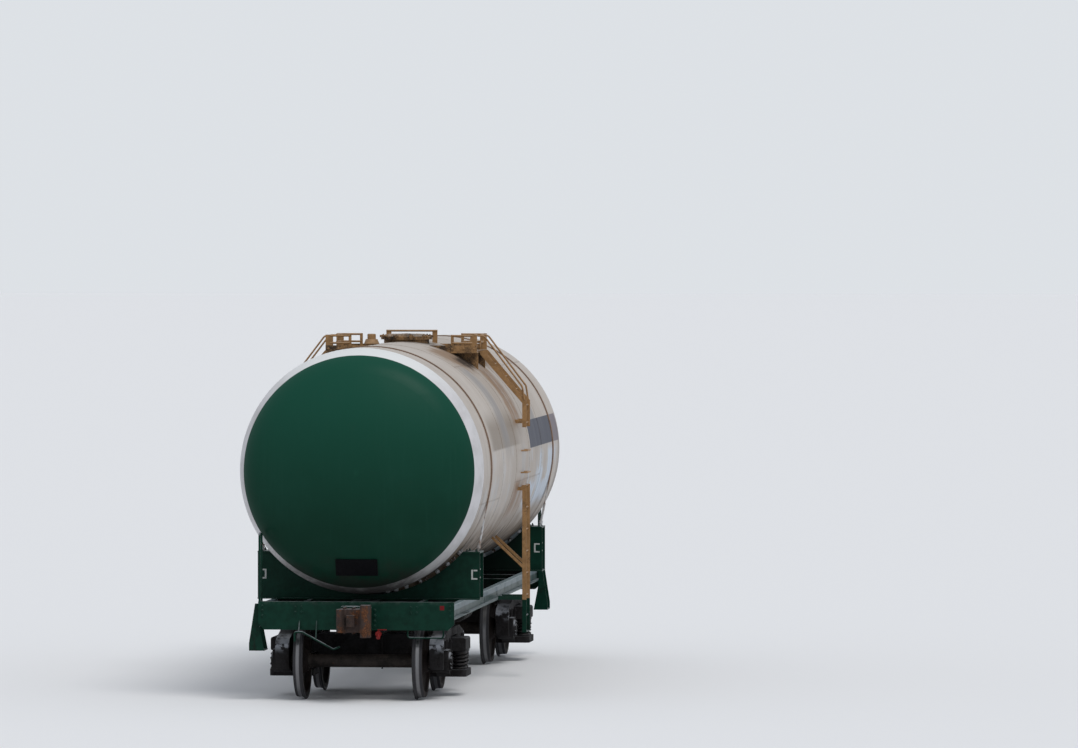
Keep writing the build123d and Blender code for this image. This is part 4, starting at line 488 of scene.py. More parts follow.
# Clamp bands, weld beads and a drain plug on the reservoir
clamp_band = on_skin(reservoir_radius, ((-0.002, -0.026), (0.006, -0.024), (0.006, 0.024), (-0.002, 0.026)))
weld_bead = on_skin(reservoir_radius, ((-0.002, -0.007), (0.003, -0.003), (0.003, 0.003), (-0.002, 0.007)))
band_bolt_off = reservoir_radius + 0.004
for band_x in (-0.86, -0.44):
    add_lathed(gear, turned_to((band_x, reservoir_y, gear_z), (1, 0, 0)), clamp_band, 48, closed=True)
    for side in (1, -1):
        add_bolt(gear, (band_x, reservoir_y + side * band_bolt_off, gear_z), (0, side, 0), 0.026, 0.02)
for seam_x in (reservoir_start + 0.045, reservoir_end - 0.045):
    add_lathed(gear, turned_to((seam_x, reservoir_y, gear_z), (1, 0, 0)), weld_bead, 48, closed=True)
reservoir_middle = (reservoir_start + reservoir_end) / 2
add_bolt(gear, (reservoir_middle, reservoir_y, gear_z - reservoir_radius), (0, 0, -1), 0.042)

# Bolted flanges and domed covers on the cylinder
flange_rows = ((-0.012, -0.018), (0.024, -0.018), (0.024, -0.003), (0.021, 0), (-0.012, 0))
flange_ring = on_skin(cylinder_radius, flange_rows)
dome_rows = ((0.72, -0.001), (0.70, 0.008), (0.52, 0.014), (0, 0.016))
domed_cover = [(share * cylinder_radius, height) for share, height in dome_rows]
for flange_x, out in ((cylinder_start, -1), (cylinder_end, 1)):
    flange = turned_to((flange_x, cylinder_y, gear_z), (out, 0, 0))
    add_lathed(gear, flange, flange_ring, 48, closed=True)
    add_bolt_circle(gear, flange, cylinder_radius + 0.006, 10, 0.022, 0.008)
    add_lathed(gear, flange, domed_cover, 32)

# Bolts below the distributor and around the outlet's flange
distributor_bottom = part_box("brake_distributor")[0][2]
for across in (0.26, 0.435):
    for bolt_x in (0.33, 0.51):
        add_bolt(gear, (bolt_x, across, distributor_bottom), (0, 0, -1), 0.024)
outlet_face_z = 0.760
outlet_bolt_radius = 0.118
add_bolt_circle(gear, turned_to((0, 0, outlet_face_z), (0, 0, -1)), outlet_bolt_radius, 8, 0.024)

# Each union has a hexagon nut on one side and a round sleeve on the other.
pipe_z, pipe_y, pipe_radius = 0.940, 0.420, 0.021
nut_radius = pipe_radius * 1.75
sleeve_radius = pipe_radius * 1.5
union_nut = ((pipe_radius, -0.034), (nut_radius, -0.034), (nut_radius, 0), (pipe_radius, 0))
union_sleeve = ((pipe_radius, 0.002), (sleeve_radius, 0.002), (sleeve_radius, 0.030), (pipe_radius, 0.032))
for union_x, side in ((3.0, 1), (1.6, 1), (0.1, 1), (-2.4, -1), (-3.7, -1)):
    union = turned_to((union_x, side * pipe_y, pipe_z), (1, 0, 0))
    add_lathed(gear, union, union_nut, 6, closed=True)
    add_lathed(gear, union, union_sleeve, 20, closed=True)
new_piece("brake_gear_fittings", gear, "car", black_steel)

red_enamel, tree = new_finish("red_cock_paint")
dirty, gloss = use(tree, grime, Colour=(0.17, 0.010, 0.009), Grime=(0.05, 0.025, 0.02),
                   Amount=0.35, Scale=20.0, Clean=0.4, Dirty=0.85)
give(red_enamel, dirty, gloss, noise(place_on(tree), 130.0), 0.001)
finish_nodes(["end_cocks"], red_enamel)

# FRAME
# Rolled and pressed steel, welded: a centre sill of two webs under a plate, two side sills,
# headstocks, cross bearers and saddles. It is in dark green gloss paint, with snow dust on its
# ledges, and the side sills are pale with it and with a painted reflection.

frame_end_x = 5.4
green_deep = (0.0036, 0.0265, 0.0170)
frame_dirt = (0.006, 0.007, 0.006)


def combined(*shares):
    parts = dict(enumerate(shares))
    return Value(add_node(shares[0].tree, "ShaderNodeCombineXYZ", parts).outputs[0])


# Dirt and melted snow run down upright faces.
run_off, taken = new_effect(
    "run_off",
    {"Colour": "Color", "Stain": "Color", "Amount": "Float", "Scale": "Float"},
    {"Colour": "Color"},
)
along, sideways, height_z = split(place_on(run_off))
wide = taken["Scale"]
streak = noise(combined(along * wide, sideways * wide, height_z * (wide * 0.07)), 1.0, 6.0, 0.7)
edge = 0.78 - taken["Amount"] * 0.45
upright = 1.0 - abs(facing(run_off)[2])
mask = between(streak, edge, edge + 0.16) * between(upright, 0.1, 0.5)
put_out(run_off, {"Colour": mixed(mask, taken["Colour"], taken["Stain"])})


def green_coat(name, dust, frost_share):
    # Green paint with its own share of dirt and frost; marks can go over the colour that it returns.
    finish, tree = new_finish(name, gleam=0.08)
    dirty, gloss = use(tree, grime, Colour=green_deep, Grime=frame_dirt,
                       Amount=dust, Scale=3.5, Clean=0.38, Dirty=0.85)
    stained = use(tree, run_off, Colour=dirty, Stain=(0.013, 0.014, 0.011), Amount=0.35, Scale=16.0)[0]
    rusty, grains = use(tree, rust, Colour=stained, Amount=0.12, Scale=12.0)
    brushed = noise(stretched(place_on(tree), (1.0, 1.0, 0.4)), 60.0, 3.0)
    return finish, tree, frosted(tree, rusty, frost_share, 9.0), gloss, grains + brushed * 0.3


paint_depth = 0.0015
green_paint, tree, colour, gloss, height = green_coat("green_paint", 0.45, 0.6)
give(green_paint, colour, gloss, height, paint_depth)

underside_green, tree, colour, gloss, height = green_coat("underside_green", 0.75, 0.35)
give(underside_green, colour, gloss, height, paint_depth)

# A red square is painted near each headstock's +Y end.
headstock_green, tree, colour, gloss, height = green_coat("headstock_green", 0.25, 0.25)
spot = place_on(tree)
_, sideways, height_z = split(spot)
top_dust = between(height_z, 1.25, 1.31) * between(noise(spot, 14.0), 0.40, 0.70)
colour = mixed(top_dust * 0.12, colour, (0.16, 0.18, 0.17))
red_square = between(abs(sideways - 1.13), 0.031, 0.027) * between(abs(height_z - 1.235), 0.031, 0.027)
give(headstock_green, mixed(red_square, colour, (0.13, 0.009, 0.011)), gloss, height, paint_depth)

side_sill_grey, tree, colour, gloss, height = green_coat("frost_and_reflection_side_sill", 0.4, 0.7)
spot = place_on(tree)
# The sill's face is painted pale, most on its upper part: frost and a painted reflection.
pale_share = between(noise(spot, 5.0, 8.0, 0.7), 0.22, 0.50) * between(split(spot)[2], 1.168, 1.186, 0.22, 1.0)
give(side_sill_grey, mixed(pale_share * 0.88, colour, (0.20, 0.255, 0.280)), gloss, height, paint_depth)

# A plain white bracket is painted on each saddle end, beside the place for a jack.
saddle_green, tree, colour, gloss, height = green_coat("saddle_green", 0.35, 0.5)
spot = place_on(tree)
along, sideways, height_z = split(spot)
off_y = abs(sideways) - 1.405
off_z = abs(height_z - 1.609)
outer = between(abs(off_y), 0.042, 0.039) * between(off_z, 0.066, 0.063)
inner = between(off_y, -0.020, -0.017) * between(off_z, 0.047, 0.044)
on_end = between(abs(facing(tree)[0]), 0.8, 0.9)
worn = between(noise(spot, 45.0), 0.30, 0.42)
bracket_mark = reckon("SUBTRACT", outer, inner, clamp=True) * on_end * worn
# The saddles' faces under the tank are painted near black: painted shade of the barrel.
painted_shade_under_tank = between(abs(sideways), 1.33, 1.12) * between(abs(along), 4.06, 4.04)
colour = mixed(painted_shade_under_tank * 0.75, colour, (0.004, 0.006, 0.005))
give(saddle_green, mixed(bracket_mark, colour, (0.42, 0.44, 0.43)), gloss, height, paint_depth)

finish_nodes(["headstocks"], headstock_green)
finish_nodes(["side_sills"], side_sill_grey)
finish_nodes(["saddles"], saddle_green)
finish_nodes(["centre_sill", "body_bolsters", "cross_bearers", "tank_anchors"], underside_green)
finish_nodes(["end_stringers", "coupler_strikers", "uncoupling_levers"], green_paint)
finish_nodes(["corner_steps", "shunter_handles", "ladder_steps"], green_paint)

# Rows of bolts fix strikers, stringers and steps to the headstocks: their places across and up, and
# their heads' width
headstock_bolt_rows = (
    ((0.245,), (0.99, 1.06, 1.13, 1.20), 0.032),
    ((0.72, 0.80), (1.17, 1.24), 0.026),
    ((1.235,), (1.12, 1.19, 1.25), 0.026),
)
frame_bolts = bmesh.new()
for end, side in ends_and_sides:
    for places_y, places_z, across_flats in headstock_bolt_rows:
        for bolt_y in places_y:
            for bolt_z in places_z:
                place = (end * frame_end_x, side * bolt_y, bolt_z)
                add_bolt(frame_bolts, place, (end, 0, 0), across_flats)
new_piece("headstock_bolts", frame_bolts, "car", headstock_green)

# SADDLE PADS
# Beams of softwood, dark with age, bed the tank on its saddles. Rows of rusty bolts hold them on
# both faces, and wedges that are driven in at their ends keep them tight.

pad_wood, tree = new_finish("pad_wood", 0.85)
spot = place_on(tree)
wave = {"Vector": stretched(spot, (1.0, 6.0, 6.0)), "Scale": 9.0, "Distortion": 7.0, "Detail": 4.0}
grain = Value(add_node(tree, "ShaderNodeTexWave", wave).outputs["Fac"])
wood = mixed(grain, (0.050, 0.038, 0.026), (0.105, 0.078, 0.050))
dirty, gloss = use(tree, grime, Colour=wood, Grime=(0.03, 0.022, 0.016),
                   Amount=0.5, Scale=6.0, Clean=0.75, Dirty=0.95)
rear_frost = between(split(spot)[0], -3.60, -3.72) * between(noise(spot, 5.0), 0.35, 0.50)
give(pad_wood, mixed(rear_frost * 0.75, dirty, (0.26, 0.31, 0.34)), gloss, grain, 0.002)
finish_nodes(["saddle_pads"], pad_wood)

clamp_steel, tree = new_finish("clamp_steel")
rusty, grains = use(tree, rust, Colour=(0.060, 0.042, 0.030), Amount=0.5, Scale=9.0)
icy = between(noise(place_on(tree), 9.0, 4.0), 0.47, 0.53)
give(clamp_steel, mixed(icy * 0.85, rusty, (0.42, 0.44, 0.46)), None, grains, 0.001)

tank_axis = 3.0
tank_radius = 1.610


def around_tank(along_x, side, turn, out):
    # A place beside the tank, turned from its lowest line and so far out of its skin
    reach = tank_radius + out
    return Vector((along_x, side * reach * sin(turn), tank_axis - reach * cos(turn)))


pad_face_x, wedge_x = 0.171, 0.10
wedge_turn = radians(47.2)
clamps = bmesh.new()
for end, side in ends_and_sides:
    for face in (1, -1):
        for step in range(8):
            # The bolts stand a little unevenly.
            turn = radians(8 + 5.2 * step + 0.9 * sin(4.0 * step + face + end))
            place = around_tank(end * bogie_centre + face * pad_face_x, side, turn, 0.025)
            add_bolt(clamps, place, (face, 0, 0), 0.040, 0.016)
        foot = around_tank(end * bogie_centre + face * wedge_x, side, wedge_turn, 0.03)
        at = Matrix.Translation(foot) @ Matrix.Rotation(side * -wedge_turn, 4, "X")
        add_block(clamps, (-0.05, -0.045, -0.022), (0.05, 0.045, 0.022), 0.006, at)
new_piece("pad_bolts_and_wedges", clamps, "car", clamp_steel)

# Four bolts on the ledge at each end of a saddle
ledge_z = 1.911
ledge_bolts = bmesh.new()
for end, side in ends_and_sides:
    for along_ledge in (-0.16, 0.16):
        for across in (1.305, 1.43):
            place = (end * bogie_centre + along_ledge, side * across, ledge_z)
            add_bolt(ledge_bolts, place, (0, 0, 1), 0.030, 0.02)
new_piece("ledge_bolts", ledge_bolts, "car", saddle_green)

# TANK
# A welded shell of steel sheets, 3.2 m across, with pressed dished ends. Cream enamel on the
# barrel, a white ring and a green disc on each end; spilt product, rust water and winter dirt have
# run down its sides. Two steel bands hold it on the saddles.

barrel_cream, tree = new_finish("barrel_cream", gleam=0.1)
spot = place_on(tree)
along, sideways, height_z = split(spot)
turn_from_top = reckon("ARCTAN2", abs(sideways), height_z - tank_axis)
down = turn_from_top * tank_radius
side_sign = reckon("SIGN", sideways)
mirrored = along * side_sign
off_middle = abs(along)


def flowing(across_scale, down_scale, detail=6.0, roughness=0.65):
    # Noise drawn out along the way that water runs down the barrel
    flat = combined(along * across_scale, down * down_scale, side_sign)
    return noise(flat, 1.0, detail, roughness)


def zone(value, start, full, fade, end):
    # Rises from start to full and falls again from fade to end.
    return between(value, start, full) * between(value, end, fade)


sheet_tone = between(noise(stretched(spot, (0.55, 0.12, 0.12)), 1.0, 2.0), 0.3, 0.7)
colour = mixed(sheet_tone, (0.395, 0.350, 0.310), (0.470, 0.425, 0.385))
patches = between(noise(spot, 2.4, 8.0, 0.68), 0.42, 0.68)
colour = mixed(patches * 0.30, colour, (0.330, 0.275, 0.230))

# A band of older, browner paint, and frost that clings above the frame
band = zone(down, 1.72, 2.04, 2.295, 2.330) * between(flowing(0.9, 0.6), 0.20, 0.42)
band = band * zone(mirrored, -0.30, 0.95, 3.30, 3.80)
colour = mixed(band * 0.92, colour, (0.225, 0.186, 0.150))
pale_share = zone(down, 2.38, 2.56, 3.15, 3.40) * zone(mirrored, -4.6, -3.9, -1.1, -0.6)
pale_share = pale_share * between(noise(stretched(spot, (0.5, 1.0, 0.45)), 2.6, 4.0, 0.5), 0.40, 0.50)
colour = mixed(pale_share * 0.85, colour, (0.50, 0.58, 0.68))
faint_rime = zone(down, 2.2, 2.5, 3.1, 3.3) * between(noise(spot, 2.1, 6.0, 0.6), 0.50, 0.64)
colour = mixed(faint_rime * 0.35, colour, (0.46, 0.50, 0.55))

# Fine streaks run down everywhere.
fine_runs = between(flowing(15.0, 0.55), 0.50, 0.72) * between(down, 0.3, 1.4)
colour = mixed(fine_runs * 0.40, colour, (0.215, 0.170, 0.130))
dark_runs = between(flowing(34.0, 0.8, 5.0, 0.7), 0.63, 0.74) * between(down, 1.4, 2.4)
colour = mixed(dark_runs * 0.50, colour, (0.080, 0.062, 0.050))
wander = off_middle + (flowing(2.2, 1.4) - 0.5) * 0.5
spill = between(wander, 2.40, 1.60) * zone(down, 0.5, 0.95, 1.3, 3.2) * between(flowing(9.0, 0.5), 0.42, 0.66)
colour = mixed(spill * 0.42, colour, (0.185, 0.150, 0.120))

# Oil from the walkway's ends leaves a brown smudge with a dark heart, and a grey run below it.
ragged = (noise(spot, 2.4, 7.0, 0.65) - 0.5) * 0.75
less_behind = between(along, -0.5, 0.5, 0.6, 1.0)
smudge_reach = distance((off_middle - 1.18) * 0.34, down - 0.80)
smudge = between(smudge_reach + ragged, 0.46, 0.16) * less_behind
colour = mixed(smudge * 0.86, colour, (0.245, 0.165, 0.108))
heart_reach = distance((off_middle - 0.88) * 0.33, down - 0.93)
heart = between(heart_reach + ragged * 0.5, 0.23, 0.09) * less_behind
colour = mixed(heart * 0.92, colour, (0.032, 0.024, 0.020))
grey_run = zone(wander, 1.35, 1.60, 2.00, 2.35) * zone(down, 0.95, 1.15, 2.1, 2.6)
grey_run = grey_run * between(flowing(5.0, 0.4), 0.30, 0.52)
colour = mixed(grey_run * 0.62, colour, (0.190, 0.192, 0.205))

# Rust water keeps beside the ladders, and product has splashed around the manhole.
rusty_run = zone(wander, -0.05, 0.08, 0.38, 0.56) * zone(down, 1.02, 1.18, 1.85, 2.15)
rusty_run = rusty_run * between(flowing(6.0, 2.6, 7.0, 0.7), 0.32, 0.52)
colour = mixed(rusty_run * 0.88, colour, (0.235, 0.130, 0.060))
foot_run = zone(wander, 0.02, 0.14, 0.55, 0.95) * zone(down, 2.72, 2.86, 3.15, 3.50)
foot_run = foot_run * between(flowing(5.0, 1.2), 0.28, 0.55)
colour = mixed(foot_run * 0.70, colour, (0.230, 0.130, 0.070))
puddle = between(distance(along, down) + noise(spot, 5.0), 1.35, 0.90) * between(noise(spot, 12.0), 0.3, 0.55)
colour = mixed(puddle * 0.75, colour, (0.055, 0.042, 0.032))

# Rust water by the bands, dirt thrown up from the track, and a near-black underside of dirt and painted shade
strap_rust = between(abs(off_middle - bogie_centre), 0.16, 0.045) * between(flowing(20.0, 1.0), 0.40, 0.62)
colour = mixed(strap_rust * 0.55, colour, (0.150, 0.080, 0.042))
end_smear = between(off_middle, 4.20, 4.66) * zone(down, 1.9, 2.3, 3.0, 3.6)
end_smear = end_smear * between(flowing(7.0, 0.5), 0.48, 0.66)
colour = mixed(end_smear * 0.80, colour, (0.070, 0.055, 0.045))
golden = between(down + noise(spot, 1.8, 6.0) * 0.8, 3.45, 4.05)
colour = mixed(golden * 0.80, colour, (0.150, 0.110, 0.075))
# The barrel's underside is painted near black: dirt and painted shade.
low_dirt_and_shade = between(down + noise(spot, 2.6, 7.0) * 1.2, 4.05, 4.70)
colour = mixed(low_dirt_and_shade * 0.92, colour, (0.020, 0.018, 0.016))

# Slate-blue panels lie over it all, one on each side, and a paler patch beyond the far band.
high_and_low = zone(height_z, 3.113, 3.119, 3.491, 3.497)
panel_wear = between(noise(spot, 22.0, 6.0, 0.7), 0.22, 0.36, 0.90, 0.99)
in_panel = zone(mirrored, -3.850, -3.842, -0.985, -0.975) * high_and_low
panel_blue = mixed(between(flowing(7.0, 0.8), 0.45, 0.75), (0.027, 0.032, 0.056), (0.062, 0.066, 0.088))
colour = mixed(in_panel * panel_wear, colour, panel_blue)
pale_patch = zone(mirrored, -4.74, -4.73, -3.96, -3.95) * high_and_low
colour = mixed(pale_patch * panel_wear * 0.92, colour, (0.120, 0.100, 0.125))

# The sheets' seams hold dirt. A long seam has its turn from the top and its two ends.
ring_seam_places = (0.8, 2.4, 4.0)
long_seam_places = ((0.70, -4.8, -2.4), (1.75, -2.4, 0.8), (0.62, 0.8, 2.4), (1.85, 2.4, 4.8))
seams = between(abs(off_middle - ring_seam_places[0]), 0.030, 0.006)
for seam_x in ring_seam_places[1:]:
    seams = seams + between(abs(off_middle - seam_x), 0.030, 0.006)
for seam_turn, low_x, high_x in long_seam_places:
    near = between(abs(turn_from_top - seam_turn), 0.012, 0.003)
    near = near * reckon("GREATER_THAN", along, low_x) * reckon("LESS_THAN", along, high_x)
    seams = reckon("MAXIMUM", seams, near)
colour = mixed(seams * between(noise(spot, 25.0), 0.3, 0.6) * 0.45, colour, (0.17, 0.13, 0.10))
chipped = use(tree, rust, Colour=colour, Amount=0.06, Scale=3.2)[0]
waves = noise(stretched(spot, (0.9, 0.5, 0.5)), 2.2, 3.0, 0.45)
skin = waves + seams * 0.25 + noise(spot, 70.0, 3.0) * 0.03
gloss = reckon("MAXIMUM", smudge, low_dirt_and_shade) * 0.4 + 0.45
give(barrel_cream, chipped, gloss, skin, 0.012)
finish_nodes(["tank_barrel"], barrel_cream)

dish_paint, tree = new_finish("dish_green_and_white", gleam=0.07)
spot = place_on(tree)
along, sideways, height_z = split(spot)
brush = (noise(spot, 7.0) - 0.5) * 0.006
white_share = between(distance(sideways, height_z - tank_axis) + brush, 1.5205, 1.5255)
# The green is painted darker low down and lighter towards the top: painted light from above.
green = mixed(between(height_z, 1.7, 4.8), (0.0026, 0.026, 0.0150), (0.0080, 0.066, 0.0425))
cloudy = between(noise(spot, 1.3, 5.0, 0.55), 0.38, 0.72)
green = mixed(cloudy * 0.14, green, (0.010, 0.066, 0.046))
rain = between(noise(combined(sideways * 22.0, height_z * 0.9, along), 1.0, 6.0, 0.7), 0.50, 0.75)
green = mixed(rain * 0.10, green, (0.018, 0.070, 0.050))
dusty = between(noise(spot, 2.2, 7.0, 0.65), 0.58, 0.80)
green = mixed(dusty * 0.16, green, (0.022, 0.040, 0.030))
ring_tone = mixed(between(noise(spot, 3.5, 6.0), 0.35, 0.7), (0.585, 0.580, 0.600), (0.480, 0.475, 0.485))
# The white ring is painted lighter near the top: painted light from above.
ring_tone = mixed(between(height_z, 3.9, 4.5), ring_tone, (0.70, 0.72, 0.73))
colour = mixed(white_share, green, ring_tone)
low_ring = white_share * between(height_z + noise(spot, 2.0) * 0.6, 2.6, 1.9)
colour = mixed(low_ring * 0.55, colour, (0.16, 0.155, 0.14))
# The lowest part of each end is painted near black: dirt and painted shade.
low_dirt_and_shade = between(height_z - noise(spot, 3.0, 7.0) * 0.9, 1.42, 0.95)
colour = mixed(low_dirt_and_shade * 0.8, colour, (0.018, 0.016, 0.014))
chipped = use(tree, rust, Colour=colour, Amount=0.03, Scale=4.0)[0]
skin = noise(spot, 1.6, 3.0, 0.45) + white_share * 0.02 + noise(spot, 80.0, 3.0) * 0.02
gloss = reckon("MAXIMUM", dusty, low_dirt_and_shade) * 0.4 + 0.36
give(dish_paint, chipped, gloss, skin, 0.006)
finish_nodes(["tank_dishes"], dish_paint)

strap_brown, tree = new_finish("strap_brown")
spot = place_on(tree)
dirty, gloss = use(tree, grime, Colour=(0.190, 0.120, 0.080), Grime=(0.070, 0.045, 0.032),
                   Amount=0.4, Scale=7.0, Clean=0.6, Dirty=0.9)
rusty, grains = use(tree, rust, Colour=dirty, Amount=0.25, Scale=8.0)
iced_rods = between(split(spot)[2], 2.55, 2.30) * between(noise(spot, 7.0, 5.0), 0.32, 0.55)
give(strap_brown, mixed(iced_rods * 0.85, rusty, (0.52, 0.54, 0.56)), gloss, grains, 0.0015)
finish_nodes(["tank_straps"], strap_brown)

random.seed(7)


def add_weld_ring(shape, ring_x, half_width=0.007, rise=0.0035, steps=480):
    # A weld bead around the barrel, uneven from one pass of the rod to the next
    rows = []
    for step in range(steps):
        turn = 2 * pi * step / steps
        swell = rise * (1 + 0.25 * sin(step * 1.9) + random.uniform(-0.15, 0.15))
        drift = random.uniform(-0.0006, 0.0006)
        row = []
        for share, up in ((-1, -0.002), (-0.6, swell * 0.8), (0, swell), (0.6, swell * 0.8), (1, -0.002)):
            reach = tank_radius + up
            place = (ring_x + drift + share * half_width, reach * sin(turn), tank_axis + reach * cos(turn))
            row.append(shape.verts.new(place))
        rows.append(row)
    for low, high in zip(rows, rows[1:] + rows[:1]):
        bridge(shape, low, high, ring=False)


dish_start = 4.8
welds = bmesh.new()
for seam_x in ring_seam_places:
    for end in (1, -1):
        add_weld_ring(welds, end * seam_x)
new_piece("barrel_welds", welds, "car", barrel_cream, 60)
welds = bmesh.new()
for end in (1, -1):
    add_weld_ring(welds, end * dish_start, 0.009)
new_piece("dish_welds", welds, "car", dish_paint, 60)

# BLANK PLATE
# A steel plate in black enamel lies against the front dished end, low down, with nothing on it.
# A bolt holds it at each corner.

plate_black, tree = new_finish("plate_black", gleam=0.06)
dirty, gloss = use(tree, grime, Colour=(0.003, 0.003, 0.004), Grime=(0.018, 0.018, 0.019),
                   Amount=0.25, Scale=6.0, Clean=0.5, Dirty=0.8)
give(plate_black, dirty, gloss, noise(place_on(tree), 60.0), 0.0008)
finish_nodes(["blank_plate"], plate_black)

plate_low, plate_high = map(Vector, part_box("blank_plate"))
plate_thick_x, plate_bolt_y = 0.022, 0.25
plate_facing = (0.86, 0, -0.51)
plate_bolts = bmesh.new()
for side in (1, -1):
    for share in (0.1, 0.9):
        bolt_z = plate_low.z + share * (plate_high.z - plate_low.z)
        face_x = plate_low.x + plate_thick_x + (plate_high.x - plate_low.x - plate_thick_x) * share
        add_bolt(plate_bolts, (face_x, side * plate_bolt_y, bolt_z), plate_facing, 0.016)
new_piece("plate_bolts", plate_bolts, "car", plate_black)

# TOP OF THE TANK AND LADDERS
# Manhole with a bolted lid, safety valve, two walkways of chequered sheet with railings, and welded
# ladders, all in ochre paint, blackened by oil where product is poured and feet tread.

ochre = (0.300, 0.172, 0.076)
ochre_dark = (0.045, 0.033, 0.024)


def ochre_coat(name, oily, green_below=None):
    # Ochre paint with its own share of oil, rust and frost, and green where a fitting meets the frame
    finish, tree = new_finish(name)
    spot = place_on(tree)
    coat = ochre
    if green_below:
        coat = mixed(between(split(spot)[2], green_below + 0.01, green_below), ochre, green_deep)
    dirty, gloss = use(tree, grime, Colour=coat, Grime=ochre_dark,
                       Amount=oily, Scale=4.5, Clean=0.5, Dirty=0.8)
    rusty, grains = use(tree, rust, Colour=dirty, Amount=0.22, Scale=9.0)
    white = frosted(tree, rusty, 0.3, 12.0, (0.55, 0.54, 0.52))
    give(finish, white, gloss, grains + noise(spot, 110.0, 3.0) * 0.4, 0.0012)
    return finish


ochre_paint = ochre_coat("ochre_paint", 0.32)
ochre_oily = ochre_coat("ochre_oily", 0.62)
ochre_over_green = ochre_coat("ochre_over_green", 0.32, 1.30)
finish_nodes(["walkway_railings", "upper_ladders", "lower_ladders", "barrel_rungs"], ochre_paint)
finish_nodes(["ladder_handrails", "safety_valve"], ochre_paint)
finish_nodes(["ladder_brackets"], ochre_over_green)
finish_nodes(["walkway_decks", "manhole_neck", "manhole_lid"], ochre_oily)

# Swing bolts hold the lid down, each between two lugs at its rim; a disc is welded on its middle.
lid_top, lug_foot, lid_disc_foot = 4.681, 4.664, 4.7105
lid_bolts, lid_bolt_radius, lid_bolt_start, lug_radius = 10, 0.322, 18, 0.345
lid_disc = ((0.06, 0), (0.06, 0.004), (0.052, 0.006), (0.02, 0.006), (0.018, 0.0085), (0, 0.0085))
lid_fittings = bmesh.new()
lid_plane = Matrix.Translation((0, 0, lid_top))
add_bolt_circle(lid_fittings, lid_plane, lid_bolt_radius, lid_bolts, 0.036, 0.012, lid_bolt_start)
for bolt in range(lid_bolts):
    turned = Matrix.Rotation(2 * pi * bolt / lid_bolts + radians(lid_bolt_start), 4, "Z")
    lug = turned @ Matrix.Translation((lug_radius, 0, lug_foot))
    for offset in (-0.028, 0.028):
        add_block(lid_fittings, (-0.03, offset - 0.007, 0), (0.022, offset + 0.007, 0.034), 0.003, lug)
add_lathed(lid_fittings, Matrix.Translation((0, 0, lid_disc_foot)), lid_disc, 24)
new_piece("manhole_lid_bolts", lid_fittings, "manhole_lid", ochre_oily)

seal_black, tree = new_finish("seal_black", 0.7)
spot = place_on(tree)
rubber = mixed(noise(spot, 30.0), (0.01, 0.01, 0.01), (0.03, 0.028, 0.026))
give(seal_black, rubber, None, noise(spot, 90.0), 0.0008)
# A flat rubber ring lies between the manhole's neck and its lid.
seal_foot = 4.6601
seal_ring = ((0.292, 0), (0.318, 0), (0.318, 0.0027), (0.292, 0.0027))
seal = bmesh.new()
add_lathed(seal, Matrix.Translation((0, 0, seal_foot)), seal_ring, 64, closed=True)
new_piece("manhole_seal", seal, "car", seal_black)

# Rows of small lozenges stand up on the walkway's sheet, every other one turned the other way.
deck_top = 4.490
deck_in, deck_out, deck_half = 0.690, 1.030, 0.600
rows_across, studs_in_row, stud_pitch = 11, 30, 0.0395
stud_rim = ((-0.013, 0, -0.0005), (0, -0.0045, -0.0005), (0.013, 0, -0.0005), (0, 0.0045, -0.0005))
stud_top = ((-0.008, 0, 0.0022), (0, -0.002, 0.0022), (0.008, 0, 0.0022), (0, 0.002, 0.0022))
studs = bmesh.new()
for side in (1, -1):
    for row in range(rows_across):
        stud_y = side * (deck_in + (row + 0.5) * (deck_out - deck_in) / rows_across)
        for column in range(studs_in_row):
            stud_x = -deck_half + 0.02 + (column + (row % 2) * 0.5) * stud_pitch
            turned = Matrix.Rotation(radians(45 if (row + column) % 2 else -45), 4, "Z")
            at = Matrix.Translation((stud_x, stud_y, deck_top)) @ turned
            rim = [studs.verts.new(at @ Vector(corner)) for corner in stud_rim]
            top = [studs.verts.new(at @ Vector(corner)) for corner in stud_top]
            studs.faces.new(top)
            bridge(studs, rim, top)
new_piece("walkway_tread", studs, "car", ochre_oily, 20)

deck_end_x, deck_bolt_z, deck_side_y = 0.62, deck_top + 0.03, 1.0
ladder_rail_x, ladder_foot_y = 0.225, 1.60
valve_x, valve_y, valve_flange_z, valve_bolt_radius = 0.42, -0.43, 4.5705, 0.096
top_bolts = bmesh.new()
for end, side in ends_and_sides:
    for across in (0.70, 0.86, 1.00):
        add_bolt(top_bolts, (end * deck_end_x, side * across, deck_bolt_z), (end, 0, 0), 0.020)
    for post_x in (ladder_rail_x, -ladder_rail_x):
        add_bolt(top_bolts, (post_x, side * deck_side_y, deck_bolt_z), (0, side, 0), 0.018)
    for bracket_z in (2.60, 3.52):
        for face in (1, -1):
            place = (end * ladder_rail_x + face * 0.005, side * ladder_foot_y, bracket_z)
            add_bolt(top_bolts, place, (face, 0, 0), 0.018)
valve_flange = turned_to((valve_x, valve_y, valve_flange_z), (0, 0, -1))
add_bolt_circle(top_bolts, valve_flange, valve_bolt_radius, 8, 0.015)
new_piece("walkway_and_ladder_bolts", top_bolts, "car", ochre_paint)

# COUPLERS
# Bare steel castings, brown with rust. Ribs stiffen the head above and below, and the shaft of the
# lock's lever comes out low on its side.

rusty_casting, tree = new_finish("rusty_casting")
spot = place_on(tree)
rusty = use(tree, rust, Colour=(0.040, 0.026, 0.022), Amount=0.48, Scale=6.0)[0]
dirty, gloss = use(tree, grime, Colour=rusty, Grime=(0.018, 0.014, 0.012),
                   Amount=0.45, Scale=5.0, Clean=0.75, Dirty=0.92)
cast_skin = noise(spot, 90.0, 4.0, 0.7) * 0.4 + noise(spot, 12.0)
give(rusty_casting, frosted(tree, dirty, 0.3, 12.0), gloss, cast_skin, 0.004)
finish_nodes(["coupler_front", "coupler_rear"], rusty_casting)
round_edges(["coupler_front", "coupler_rear"], 0.010)

